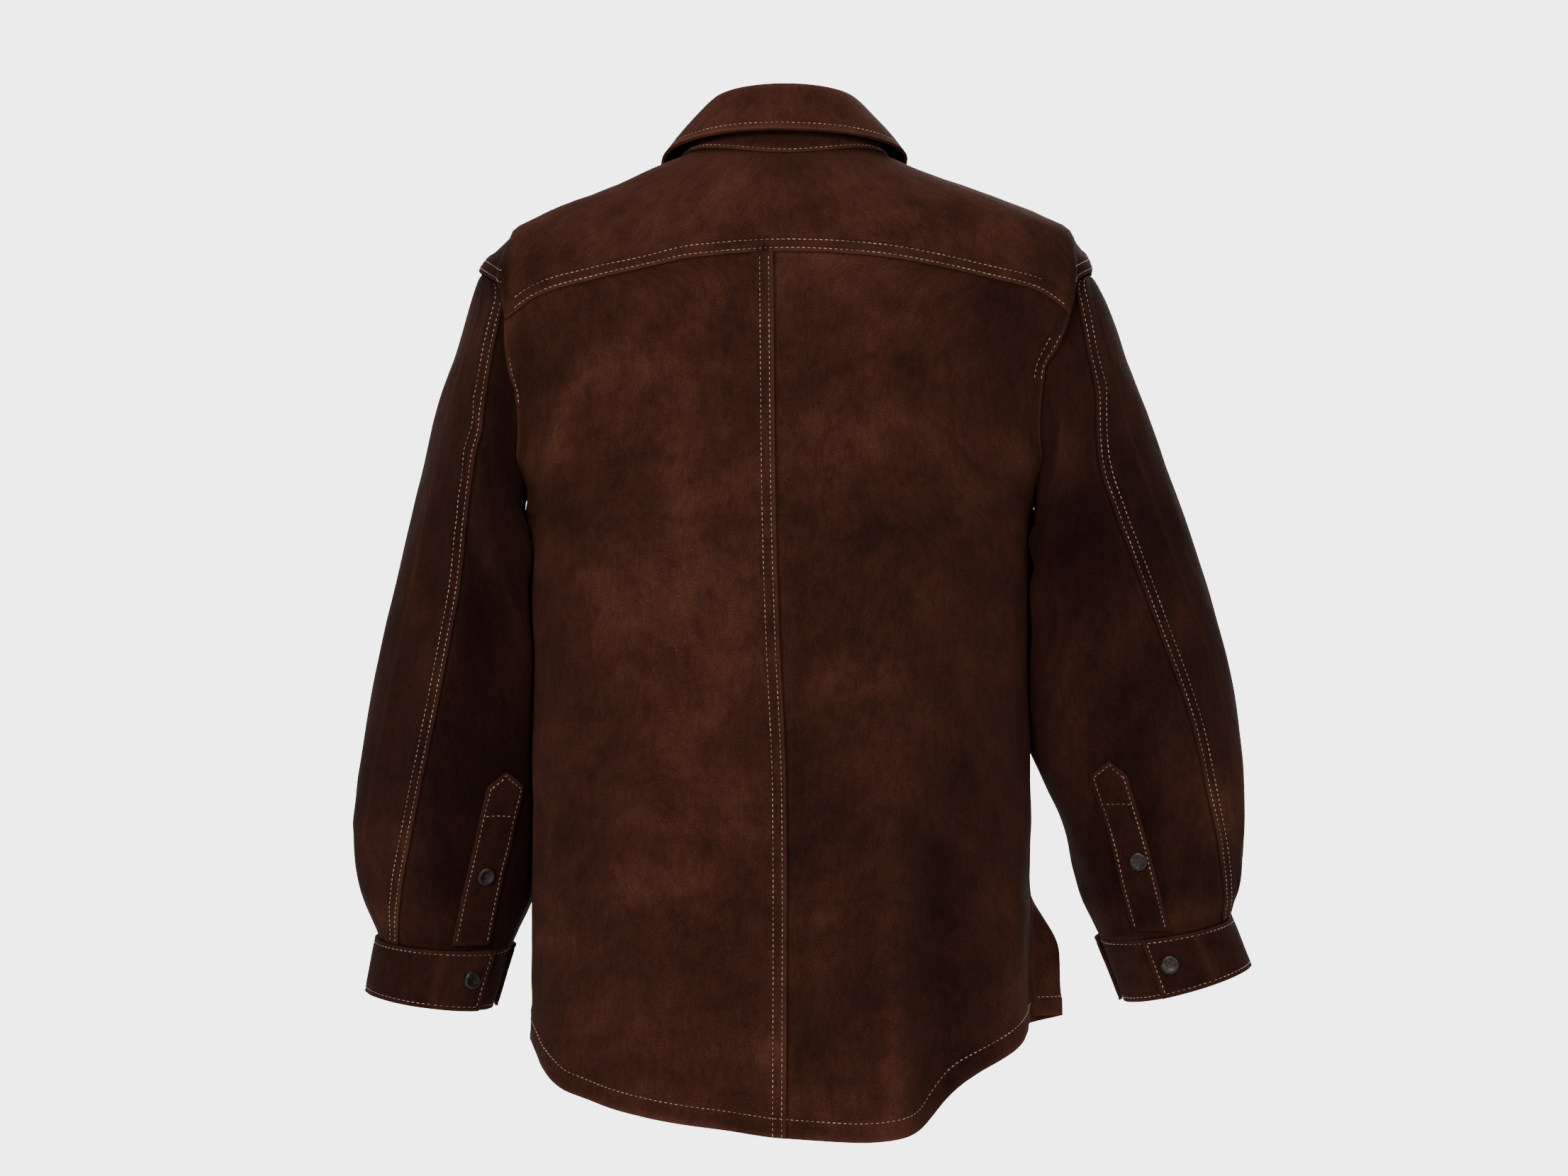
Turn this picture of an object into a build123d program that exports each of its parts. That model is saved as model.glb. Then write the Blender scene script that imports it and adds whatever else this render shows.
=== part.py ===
from build123d import *
import math
import os

# Suede work jacket in its worn shape, all sizes in millimetres.
# +Z is up, the front faces -Y, the wearer's left is +X.
# The origin is in the neck opening, level with the collar seam at the back.
# Every leather piece is a sheet: a smooth patch of a surface, given a thickness.

# ---------------------------------------------------------------- driving dimensions
LEATHER = 1.6            # thickness of every leather layer
GAP = 0.4                # clearance between pieces that move apart
ROUNDNESS = 2.3          # exponent of the body's superellipse sections

# Body sections from the neck down: height, half width, back depth, front depth.
BODY_SECTIONS = [
    (0, 52, 44, 4),
    (-6, 68, 58, 16),
    (-18, 97, 72, 34),
    (-36, 142, 86, 54),
    (-53, 186, 96, 70),
    (-72, 216, 104, 84),
    (-100, 234, 112, 100),
    (-140, 240, 121, 116),
    (-190, 232, 129, 128),
    (-240, 214, 132, 135),
    (-292, 197, 133, 138),
    (-360, 194, 130, 138),
    (-470, 193, 126, 135),
    (-600, 194, 129, 134),
    (-700, 195, 133, 136),
    (-790, 192, 135, 137),
]
# Armhole seam from the underarm to the shoulder's tip: z and x.
ARMHOLE = [(-292, 197), (-250, 200), (-200, 204), (-150, 210), (-122, 216), (-108, 224), (-100, 232)]
ARMHOLE_BOTTOM_Z = ARMHOLE[0][0]

SHOULDER_ANGLE = -12           # degrees the yoke reaches over the shoulder to the front
CENTRE_BACK_X = 3              # centre back seam
FRONT_SEAM_X = 150             # each front opens about this seam
FRONT_YOKE_Z = -150            # lower edge of the front yokes
FRONT_EDGE_X = -12             # edge of the left front
BAND_HALF_WIDTH = 20           # half width of the front band
FRONT_OPEN_GAP = 0.6           # slit between the fronts and their fixed neighbours

# Back yoke seam and hems: x and z as seen from behind, the wearer's right first.
YOKE_SEAM = [(-250, -165), (-212, -124), (-180, -106), (-142, -98), (-69, -82),
             (0, -80), (69, -84), (142, -100), (180, -111), (209, -126), (250, -165)]
HEM_BACK = [(-215, -670), (-195, -683), (-170, -702), (-142, -723), (-110, -756), (-63, -766),
            (0, -762), (98, -745), (157, -728), (182, -708), (195, -690), (215, -678)]
HEM_FRONT = [(-215, -660), (-196, -676), (-165, -700), (-120, -728), (-60, -742), (0, -744),
             (60, -742), (120, -728), (165, -700), (196, -684), (215, -668)]

# Collar ovals in plan view: half width, back y, front y. Heights: back, side, front.
NECKLINE = (80, 64, -72)
FOLD_OVAL = (62, 48, -60)
FOLD_HEIGHTS = (44, 26, -14)
LEAF_OVAL = (99, 74, -92)
LEAF_HEIGHTS = (8, -15, -66)
COLLAR_END_ANGLE = -76         # degrees, where the collar stand ends at the front
LEAF_END_ANGLE = -62           # degrees, where the leaf's points are

# Sleeve sections from the armhole to the cuff seam. Each is an ellipse that spans from an
# inner point (x, z) to an outer point (x, z), with a half depth, a centre y and the angle
# at which the back seam crosses it.
SLEEVE_LEFT = [
    ((198, -292), (236, -100), 62, 2, 44),
    ((200, -302), (250, -148), 68, 0, 72),
    ((202, -310), (264, -204), 71, -3, 77),
    ((201, -324), (280, -270), 72, -7, 77),
    ((200, -352), (298, -344), 71, -13, 80),
    ((199, -430), (318, -428), 68, -24, 76),
    ((199, -505), (332, -503), 66, -36, 71),
    ((200, -560), (333, -556), 62, -46, 64),
    ((212, -623), (318, -617), 47, -55, 47),
]
SLEEVE_RIGHT = [
    ((198, -292), (236, -100), 62, 2, 39),
    ((201, -302), (261, -148), 68, 0, 62),
    ((204, -310), (282, -204), 71, -3, 76),
    ((204, -324), (305, -270), 72, -7, 75),
    ((203, -352), (329, -344), 71, -13, 69),
    ((202, -440), (357, -436), 68, -22, 58),
    ((211, -510), (367, -512), 66, -32, 52),
    ((225, -560), (364, -562), 62, -42, 42),
    ((252, -617), (353, -601), 47, -50, 28),
]
SLEEVE_FRONT_SEAM = -100       # degrees, front seam of both sleeves

# Cuffs: lower inner point and lower outer point (x, z), and the angle of the loose end.
CUFF_LEFT = ((224, -670), (325, -658), 137)
CUFF_RIGHT = ((268, -664), (368, -636), 112)
CUFF_THICKNESS = 2.8           # two layers
CUFF_TAB_ANGLE = 46            # degrees of cuff that the loose tab covers
CUFF_LAP_ANGLE = 30            # degrees of the under end that the tab covers
CUFF_SNAP_ANGLE = 16           # degrees from the tab's loose end to its snap

# Sleeve plackets: top centre, bottom centre (x, z), and the snap on each.
PLACKET_LEFT = ((212, -487), (241, -617), (228, -569))
PLACKET_RIGHT = ((254, -478), (289, -605), (277, -557))
PLACKET_HALF_WIDTH = 14
PLACKET_POINT = 12             # height of the pointed top

POCKET_INNER_X = 30
POCKET_OUTER_X = 138
POCKET_TOP_Z = -212
POCKET_BOTTOM_Z = -340
POCKET_POINT = 14
FLAP_INNER_X = 28
FLAP_OUTER_X = 140
FLAP_TOP_Z = -198
FLAP_SIDE_Z = -240
FLAP_POINT = 16

SNAP_RADIUS = 7.5              # visible cap, 24 ligne
SNAP_THICKNESS = 1.8
STUD_BASE_RADIUS = 3.4
STUD_BASE_THICKNESS = 0.25
FRONT_SNAPS_Z = [-190, -285, -380, -475, -570, -665]
TOP_SNAP_Z = -105

LOOP_HALF_WIDTH = 16
LOOP_WIDTH = 6
LOOP_DROP = 22


# ---------------------------------------------------------------- curves
def between(rows, key):
    """Smooth interpolation of the columns of rows at key, the first column."""
    if rows[0][0] > rows[-1][0]:
        rows = rows[::-1]
    key = min(max(key, rows[0][0]), rows[-1][0])
    k = 0
    while k < len(rows) - 2 and key > rows[k + 1][0]:
        k += 1
    step = rows[k + 1][0] - rows[k][0]
    t = (key - rows[k][0]) / step

    def slope(i, column):
        low = max(i - 1, 0)
        high = min(i + 1, len(rows) - 1)
        return (rows[high][column] - rows[low][column]) / (rows[high][0] - rows[low][0])

    values = []
    for column in range(1, len(rows[0])):
        start = rows[k][column]
        end = rows[k + 1][column]
        leave = slope(k, column) * step
        arrive = slope(k + 1, column) * step
        values.append(start * (2 * t ** 3 - 3 * t ** 2 + 1) + leave * (t ** 3 - 2 * t ** 2 + t)
                      + end * (3 * t ** 2 - 2 * t ** 3) + arrive * (t ** 3 - t ** 2))
    return values


def mix(a, b, t):
    return a + (b - a) * t


def bisect(is_past, start, end):
    """The value between start and end at which is_past turns true."""
    for _ in range(30):
        middle = (start + end) / 2
        if is_past(middle):
            end = middle
        else:
            start = middle
    return (start + end) / 2


def signed_power(value, power):
    return math.copysign(abs(value) ** power, value)


# ---------------------------------------------------------------- body surface
def body_point(side, angle, z, grow=0):
    """A point of the body at an angle in radians from its side, 90 degrees at the back."""
    half_width, back, front = between(BODY_SECTIONS, z)
    x = (half_width + grow) * signed_power(math.cos(angle), 2 / ROUNDNESS)
    depth = (back + front) / 2 + grow
    y = (back - front) / 2 + depth * signed_power(math.sin(angle), 2 / ROUNDNESS)
    rise = min(1, max(0, (z + 292) / 190))
    return Vector(side * x, y, z + grow * rise)


def angle_at(x, z, face):
    """The angle at which the body section at z has this x. face is 1 behind, -1 in front."""
    half_width = between(BODY_SECTIONS, z)[0]
    ratio = min(1, abs(x) / half_width)
    return face * math.acos(math.copysign(ratio ** (ROUNDNESS / 2), x))


def armhole_x(z):
    return between(ARMHOLE, z)[0]


def side_angle(z, face):
    """Where a body row ends: at the armhole, or at the side seam below it."""
    if z <= ARMHOLE_BOTTOM_Z:
        return 0
    return angle_at(armhole_x(z), z, face)


def oval_point(oval, angle):
    half_width, back, front = oval
    middle = (back + front) / 2
    return half_width * math.cos(angle), middle + (back - front) / 2 * math.sin(angle)


def inside_neckline(point):
    half_width, back, front = NECKLINE
    middle = (back + front) / 2
    depth = (back - front) / 2
    return (point.X / half_width) ** 2 + ((point.Y - middle) / depth) ** 2 < 1


def neckline_z(angle):
    return bisect(lambda z: not inside_neckline(body_point(1, angle, z)), -1, -95)


def yoke_bottom_z(angle):
    """The height at which a yoke column meets the yoke seam or the armhole."""
    def is_past(z):
        x = body_point(1, angle, z).X
        return abs(x) > armhole_x(z) or z < between(YOKE_SEAM, x)[0]
    z = neckline_z(angle)
    while not is_past(z):
        z -= 1
    return bisect(is_past, z + 1, z)


def front_yoke_bottom_z(angle):
    def is_past(z):
        return body_point(1, angle, z).X > armhole_x(z) or z < FRONT_YOKE_Z
    z = neckline_z(angle)
    while not is_past(z):
        z -= 1
    return bisect(is_past, z + 1, z)


# ---------------------------------------------------------------- solids
def sheet(surface, count_u, count_v, low, high):
    """A solid sheet between surface(u, v, low) and surface(u, v, high)."""
    faces = []
    for grow in (low, high):
        points = [[surface(i / count_u, j / count_v, grow) for j in range(count_v + 1)]
                  for i in range(count_u + 1)]
        faces.append(Face.make_surface_from_array_of_points(points, tol=0.02))
    sides = []
    for a in faces[0].edges():
        b = min(faces[1].edges(), key=lambda edge: (edge @ 0.5 - a @ 0.5).length)
        sides.append(Face.make_surface_from_curves(a, b))
    solid = Solid(Shell(faces + sides))
    if solid.volume < 0:
        solid = Solid(solid.wrapped.Reversed())
    return solid


def tangent_plane(point_at, u, v, outward, step=0.5):
    """The plane that touches point_at at (u, v), with its normal on outward's side."""
    origin = point_at(u, v)
    normal = (point_at(u + step, v) - origin).cross(point_at(u, v + step) - origin)
    normal = normal.normalized()
    if normal.dot(outward) < 0:
        normal = normal * -1
    return Plane(origin=origin, z_dir=normal)


def disc(radius, height):
    return Cylinder(radius, height, align=(Align.CENTER, Align.CENTER, Align.MIN))


def snap_cap(plane):
    """A snap cap on the leather, with its socket ring in the recess under it."""
    cap = disc(SNAP_RADIUS, SNAP_THICKNESS)
    cap = fillet(cap.edges().group_by(Axis.Z)[-1], SNAP_THICKNESS * 0.45)
    return plane.location * cap


def snap_stud(plane):
    """The low stud plate on the layer that the cap presses onto."""
    return plane.location * disc(STUD_BASE_RADIUS, STUD_BASE_THICKNESS)


def group(shapes):
    solids = []
    for shape in shapes:
        solids.extend(shape.solids())
    return Compound(solids)


def write(name, shape):
    export_step(shape, "parts/" + name + ".step")


# ---------------------------------------------------------------- back and yoke
def make_back_yoke():
    start = math.radians(SHOULDER_ANGLE)
    columns = {}

    def surface(u, v, grow):
        angle = mix(start, math.pi - start, u)
        if u not in columns:
            columns[u] = (neckline_z(angle), yoke_bottom_z(angle))
        top, bottom = columns[u]
        return body_point(1, angle, mix(top, bottom, v), grow)

    return sheet(surface, 44, 8, -LEATHER, 0)


def row_height(curve, side, u, angle_start, angle_end, guess):
    """The height of an edge curve at the fraction u of a body row."""
    z = guess
    for _ in range(8):
        angle = mix(angle_start(z), angle_end(z), u)
        z = between(curve, body_point(side, angle, z).X)[0]
    return z


def panel(side, top, hem, angle_start, angle_end, low, high, count_u, count_v):
    """A body panel between two edge curves, whose rows run between two angles."""
    edges = {}

    def surface(u, v, grow):
        if u not in edges:
            edges[u] = (row_height(top, side, u, angle_start, angle_end, -120),
                        row_height(hem, side, u, angle_start, angle_end, -700))
        z = mix(edges[u][0], edges[u][1], v)
        return body_point(side, mix(angle_start(z), angle_end(z), u), z, grow)

    return sheet(surface, count_u, count_v, low, high)


def make_back_panel(side):
    def centre(z):
        return angle_at(side * CENTRE_BACK_X, z, 1)

    def outer(z):
        return side_angle(z, 1)

    return panel(side, YOKE_SEAM, HEM_BACK, centre, outer, -LEATHER, 0, 20, 34)


# ---------------------------------------------------------------- front
def level(z):
    return [(-300, z), (300, z)]


def make_front_yoke(side):
    start = math.radians(SHOULDER_ANGLE)
    end = angle_at(side * FRONT_EDGE_X, FRONT_YOKE_Z, -1)

    def surface(u, v, grow):
        angle = mix(start, end, u)
        z = mix(neckline_z(angle), front_yoke_bottom_z(angle), v)
        return body_point(side, angle, z, grow)

    return sheet(surface, 22, 8, -LEATHER, 0)


def make_front_side(side):
    def outer(z):
        return side_angle(z, -1)

    def inner(z):
        return angle_at(FRONT_SEAM_X, z, -1)

    return panel(side, level(FRONT_YOKE_Z), HEM_FRONT, outer, inner, -LEATHER, 0, 8, 34)


def make_front(side):
    edge = side * FRONT_EDGE_X + FRONT_OPEN_GAP / 2

    def outer(z):
        return angle_at(FRONT_SEAM_X - FRONT_OPEN_GAP, z, -1)

    def inner(z):
        return angle_at(edge, z, -1)

    return panel(side, level(FRONT_YOKE_Z - FRONT_OPEN_GAP), HEM_FRONT, outer, inner,
                 -LEATHER, 0, 14, 30)


def front_strip(x0, x1, z0, hem, low, high):
    """A strip of leather on the front between two values of x."""
    def start(z):
        return angle_at(x0, z, -1)

    def end(z):
        return angle_at(x1, z, -1)

    return panel(1, level(z0), hem, start, end, low, high, 6, 30)


def make_front_band():
    return front_strip(-BAND_HALF_WIDTH, BAND_HALF_WIDTH, FRONT_YOKE_Z - FRONT_OPEN_GAP,
                       HEM_FRONT, GAP, GAP + LEATHER)


def make_front_band_top():
    def surface(u, v, grow):
        x = mix(-BAND_HALF_WIDTH, BAND_HALF_WIDTH, u)
        z = mix(neckline_z(-math.pi / 2) - 3, FRONT_YOKE_Z, v)
        return body_point(1, angle_at(x, z, -1), z, grow)

    return sheet(surface, 6, 8, GAP, GAP + LEATHER)


def make_front_facing():
    outer = GAP + LEATHER
    return front_strip(FRONT_EDGE_X - 16, BAND_HALF_WIDTH, FRONT_YOKE_Z - FRONT_OPEN_GAP,
                       HEM_FRONT, -outer - LEATHER, -outer)


def patch(side, x0, x1, z_top, z_side, point, low, high):
    """A patch on the chest with a straight top and a shallow pointed bottom."""
    middle = (x0 + x1) / 2

    def surface(u, v, grow):
        x = mix(x0, x1, u)
        drop = point * (1 - abs(x - middle) / (middle - x0))
        z = mix(z_top, z_side - drop, v)
        return body_point(side, angle_at(x, z, -1), z, grow)

    return sheet(surface, 16, 10, low, high)


def make_pocket(side):
    return patch(side, POCKET_INNER_X, POCKET_OUTER_X, POCKET_TOP_Z,
                 POCKET_BOTTOM_Z + POCKET_POINT, POCKET_POINT, 0, LEATHER)


def make_flap(side):
    return patch(side, FLAP_INNER_X, FLAP_OUTER_X, FLAP_TOP_Z, FLAP_SIDE_Z, FLAP_POINT,
                 LEATHER + 2 * GAP, 2 * LEATHER + 2 * GAP)


def front_plane(x, z, grow):
    def point_at(u, v):
        return body_point(1, angle_at(u, v, -1), v, grow)
    return tangent_plane(point_at, x, z, Vector(0, -1, 0))


# ---------------------------------------------------------------- collar
def ring_height(heights, angle):
    back, side, front = heights
    s = math.sin(angle)
    return side + (back - side) * s if s > 0 else side + (side - front) * s


def ring_point(oval, heights, angle, grow):
    x, y = oval_point(oval, angle)
    middle = (oval[1] + oval[2]) / 2
    outward = Vector(x, y - middle, 0).normalized()
    return Vector(x, y, ring_height(heights, angle)) + outward * grow


def neckline_point(angle, grow):
    """The point of the neckline that lies under an angle of the collar."""
    x, y = oval_point(NECKLINE, angle)
    outward = Vector(x, y - (NECKLINE[1] + NECKLINE[2]) / 2, 0).normalized()

    def is_below(z):
        half_width, back, front = between(BODY_SECTIONS, z)
        depth = (y - (back - front) / 2) / ((back + front) / 2)
        return abs(x / half_width) ** ROUNDNESS + abs(depth) ** ROUNDNESS < 1

    return Vector(x, y, bisect(is_below, -1, -95) + GAP) + outward * grow


def make_collar_stand():
    start = math.radians(COLLAR_END_ANGLE)

    def surface(u, v, grow):
        angle = mix(start, math.pi - start, u)
        low = neckline_point(angle, grow)
        return mix(low, ring_point(FOLD_OVAL, FOLD_HEIGHTS, angle, grow), v)

    return sheet(surface, 40, 4, 0, LEATHER)


def make_collar_leaf():
    start = math.radians(LEAF_END_ANGLE)

    def surface(u, v, grow):
        angle = mix(start, math.pi - start, u)
        fold = ring_point(FOLD_OVAL, FOLD_HEIGHTS, angle, grow)
        edge = ring_point(LEAF_OVAL, LEAF_HEIGHTS, angle, grow)
        bow = Vector(0, 0, 5 * math.sin(math.pi * v))
        return mix(fold, edge, v) + bow

    return sheet(surface, 40, 6, LEATHER, 2 * LEATHER)


def make_hanger_loop():
    """A narrow leather loop that hangs inside the back of the collar stand."""
    def surface(u, v, grow):
        across = mix(-LOOP_HALF_WIDTH, LOOP_HALF_WIDTH, u)
        drop = LOOP_DROP * (1 - (across / LOOP_HALF_WIDTH) ** 2)
        wall_y = NECKLINE[1] - 15
        return Vector(across, wall_y - grow - 5 * drop / LOOP_DROP, 20 - drop - LOOP_WIDTH * v)

    return sheet(surface, 12, 2, 0, LEATHER)


# ---------------------------------------------------------------- sleeves and cuffs
def sleeve_row(table, t):
    """The section of a sleeve at t, from 0 at the armhole to 1 at the cuff seam."""
    rows = []
    for i, (inner, outer, depth, centre, seam) in enumerate(table):
        rows.append((i, *inner, *outer, depth, centre, seam))
    return between(rows, t * (len(table) - 1))


def sleeve_point(table, side, angle, t, grow):
    """A point of the sleeve. Angle 0 is its outer side, 90 degrees its back."""
    x0, z0, x1, z1, depth, centre, _ = sleeve_row(table, t)
    inner = Vector(side * x0, centre, z0)
    outer = Vector(side * x1, centre, z1)
    across = outer - inner
    reach = across.length / 2 + grow
    middle = (inner + outer) / 2
    return (middle + across.normalized() * (reach * math.cos(angle))
            + Vector(0, (depth + grow) * math.sin(angle), 0))


def sleeve_place(table, x, z):
    """The angle and t at which the back of a sleeve shows the point (x, z)."""
    def is_past(t):
        x0, z0, x1, z1 = sleeve_row(table, t)[:4]
        return (x1 - x0) * (z - z0) - (z1 - z0) * (x - x0) > 0
    t = bisect(is_past, 0, 1)
    x0, z0, x1, z1 = sleeve_row(table, t)[:4]
    length = (x1 - x0) ** 2 + (z1 - z0) ** 2
    fraction = ((x - x0) * (x1 - x0) + (z - z0) * (z1 - z0)) / length
    fraction = min(0.995, max(0.005, fraction))
    return math.acos(2 * fraction - 1), t


def make_sleeve(table, side, part):
    """The top panel, over the outer side, or the under panel, along the body."""
    front = math.radians(SLEEVE_FRONT_SEAM)

    def surface(u, v, grow):
        seam = math.radians(sleeve_row(table, v)[6])
        end = front if part == "top" else front + 2 * math.pi
        return sleeve_point(table, side, mix(seam, end, u), v, grow)

    return sheet(surface, 18, 30, -LEATHER, 0)


def make_placket(table, side, placket, grow_low, grow_high):
    """The pointed strip over the sleeve's slit, laid along the sleeve's back."""
    (x0, z0), (x1, z1), _ = placket

    def surface(u, v, grow):
        offset = mix(-1, 1, u)
        lift = PLACKET_POINT * (abs(offset) - 1) * (1 - v)
        x = mix(x0, x1, v) + offset * PLACKET_HALF_WIDTH
        z = mix(z0 - PLACKET_POINT, z1, v) - lift
        angle, t = sleeve_place(table, x, z)
        return sleeve_point(table, side, angle, t, grow)

    return sheet(surface, 8, 20, grow_low, grow_high)


def sleeve_plane(table, side, x, z, grow):
    def point_at(u, v):
        angle, t = sleeve_place(table, u, v)
        return sleeve_point(table, side, angle, t, grow)
    return tangent_plane(point_at, x, z, Vector(0, 1, 0))


def cuff_point(table, cuff, side, angle, v, grow):
    """A point of the cuff ring. v is 0 at the sleeve seam and 1 at the lower edge."""
    (x0, z0), (x1, z1), depth, centre = table[-1][:4]
    (x2, z2), (x3, z3), _ = cuff
    inner = Vector(side * mix(x0, x2, v), centre, mix(z0, z2, v))
    outer = Vector(side * mix(x1, x3, v), centre, mix(z1, z3, v))
    across = outer - inner
    down = Vector(0, 0, -GAP)
    return ((inner + outer) / 2 + down + across.normalized() * ((across.length / 2 + grow)
            * math.cos(angle)) + Vector(0, (depth + grow) * math.sin(angle), 0))


def cuff_arc(table, cuff, side, start, end, low, high):
    def surface(u, v, grow):
        return cuff_point(table, cuff, side, math.radians(mix(start, end, u)), v, grow)
    return sheet(surface, 24, 3, low, high)


def make_cuff(table, cuff, side):
    """The fixed band, the under end beneath the tab, and the loose tab."""
    tab_end = cuff[2]
    tab_start = tab_end - CUFF_TAB_ANGLE
    band = cuff_arc(table, cuff, side, tab_start - 1, -180, 0, CUFF_THICKNESS)
    under = cuff_arc(table, cuff, side, 186, tab_end - CUFF_LAP_ANGLE,
                     -GAP - CUFF_THICKNESS, -GAP)
    tab = cuff_arc(table, cuff, side, tab_start, tab_end, 0, CUFF_THICKNESS)
    return band, under, tab


def cuff_snap_plane(table, cuff, side, grow):
    """The plane at a cuff snap, in the middle of the tab, on the layer at grow."""
    angle = cuff[2] - CUFF_SNAP_ANGLE

    def point_at(degrees, height):
        return cuff_point(table, cuff, side, math.radians(degrees), height, grow)
    return tangent_plane(point_at, angle, 0.5, Vector(0, 1, 0), 0.1)


# ---------------------------------------------------------------- build
def write_body():
    write("back_yoke", make_back_yoke())
    write("front_band", make_front_band())
    write("front_band_top", make_front_band_top())
    write("front_facing", make_front_facing())
    write("collar_stand", make_collar_stand())
    write("collar_leaf", make_collar_leaf())
    write("hanger_loop", make_hanger_loop())
    for side, hand in ((1, "left"), (-1, "right")):
        write("back_panel_" + hand, make_back_panel(side))
        write("front_yoke_" + hand, make_front_yoke(side))
        write("front_side_" + hand, make_front_side(side))
        write("front_" + hand, make_front(side))
        write("chest_pocket_" + hand, make_pocket(side))
        write("pocket_flap_" + hand, make_flap(side))


def write_front_snaps():
    caps = [snap_cap(front_plane(0, z, GAP + LEATHER + 0.05)) for z in FRONT_SNAPS_Z]
    studs = [snap_stud(front_plane(0, z, -GAP - LEATHER)) for z in FRONT_SNAPS_Z]
    write("front_snap_caps", group(caps))
    write("front_snap_studs", group(studs))
    write("top_snap_cap", snap_cap(front_plane(0, TOP_SNAP_Z, GAP + LEATHER + 0.05)))
    for side, hand in ((1, "left"), (-1, "right")):
        x = side * (FLAP_INNER_X + FLAP_OUTER_X) / 2
        z = FLAP_SIDE_Z - 2
        write("flap_snap_cap_" + hand, snap_cap(front_plane(x, z, 2 * LEATHER + 2 * GAP + 0.05)))
        write("pocket_snap_stud_" + hand, snap_stud(front_plane(x, z, LEATHER)))


def write_sleeves():
    for side, hand, table, cuff, placket in (
            (1, "left", SLEEVE_LEFT, CUFF_LEFT, PLACKET_LEFT),
            (-1, "right", SLEEVE_RIGHT, CUFF_RIGHT, PLACKET_RIGHT)):
        write("sleeve_top_" + hand, make_sleeve(table, side, "top"))
        write("sleeve_under_" + hand, make_sleeve(table, side, "under"))
        write("sleeve_placket_" + hand, make_placket(table, side, placket, 0, LEATHER))
        write("placket_snap_" + hand,
              snap_cap(sleeve_plane(table, side, *placket[2], LEATHER + 0.1)))
        band, under, tab = make_cuff(table, cuff, side)
        write("cuff_band_" + hand, band)
        write("cuff_under_end_" + hand, under)
        write("cuff_tab_" + hand, tab)
        write("cuff_snap_cap_" + hand,
              snap_cap(cuff_snap_plane(table, cuff, side, CUFF_THICKNESS + 0.1)))
        write("cuff_snap_stud_" + hand, snap_stud(cuff_snap_plane(table, cuff, side, -GAP)))


def main():
    os.makedirs("parts", exist_ok=True)
    write_body()
    write_front_snaps()
    write_sleeves()


if __name__ == "__main__":
    main()
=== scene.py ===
import bpy
import math
import numpy as np
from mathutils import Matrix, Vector


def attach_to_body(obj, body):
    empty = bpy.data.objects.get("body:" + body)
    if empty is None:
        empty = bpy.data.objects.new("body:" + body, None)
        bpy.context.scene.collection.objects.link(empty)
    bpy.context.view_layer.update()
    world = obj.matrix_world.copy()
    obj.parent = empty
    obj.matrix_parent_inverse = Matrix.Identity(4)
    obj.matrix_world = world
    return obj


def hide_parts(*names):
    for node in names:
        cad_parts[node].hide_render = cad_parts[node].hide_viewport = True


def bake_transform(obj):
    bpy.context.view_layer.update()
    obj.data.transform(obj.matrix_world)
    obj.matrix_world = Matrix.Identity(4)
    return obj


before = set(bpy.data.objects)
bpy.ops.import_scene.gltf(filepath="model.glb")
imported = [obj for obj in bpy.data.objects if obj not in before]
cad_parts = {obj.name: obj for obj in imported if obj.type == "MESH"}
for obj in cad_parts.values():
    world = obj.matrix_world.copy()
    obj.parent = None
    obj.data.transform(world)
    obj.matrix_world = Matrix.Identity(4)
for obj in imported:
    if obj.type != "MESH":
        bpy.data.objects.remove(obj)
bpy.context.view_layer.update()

# ---------------------------------------------------------------- sizes, in millimetres
# The jacket's surfaces are the ones that its CAD sheets follow, with folds and laps added.
MM = 0.001
LEATHER = 1.6
GAP = 0.4
ROUNDNESS = 2.3

BODY_SECTIONS = [
    (0, 52, 44, 4), (-6, 68, 58, 16), (-18, 97, 72, 34), (-36, 142, 86, 54),
    (-53, 186, 96, 70), (-72, 216, 104, 84), (-100, 234, 112, 100), (-140, 240, 121, 116),
    (-190, 232, 129, 128), (-240, 214, 132, 135), (-292, 197, 133, 138), (-360, 194, 130, 138),
    (-470, 193, 126, 135), (-600, 194, 129, 134), (-700, 195, 133, 136), (-790, 192, 135, 137),
]
ARMHOLE_LEFT = [(-292, 197), (-250, 198), (-200, 201), (-165, 206), (-130, 209), (-115, 212),
                (-106, 224), (-100, 233)]
ARMHOLE_RIGHT = [(-292, 197), (-250, 198), (-200, 200), (-175, 203), (-156, 210), (-137, 215),
                 (-117, 217), (-107, 222), (-100, 233)]
ARMHOLE_TOP_Z = -100
ARMHOLE_BOTTOM_Z = -292
SHOULDER_ANGLE = -12
FRONT_SEAM_X = 150
FRONT_SEAM_LAP = 14                    # how far the side panel runs under the front
FRONT_YOKE_Z = -150
FRONT_EDGE_X = -12
BAND_HALF_WIDTH = 20
FRONT_SNAPS_Z = [-190, -285, -380, -475, -570, -665]
TOP_SNAP_Z = -105

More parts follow.
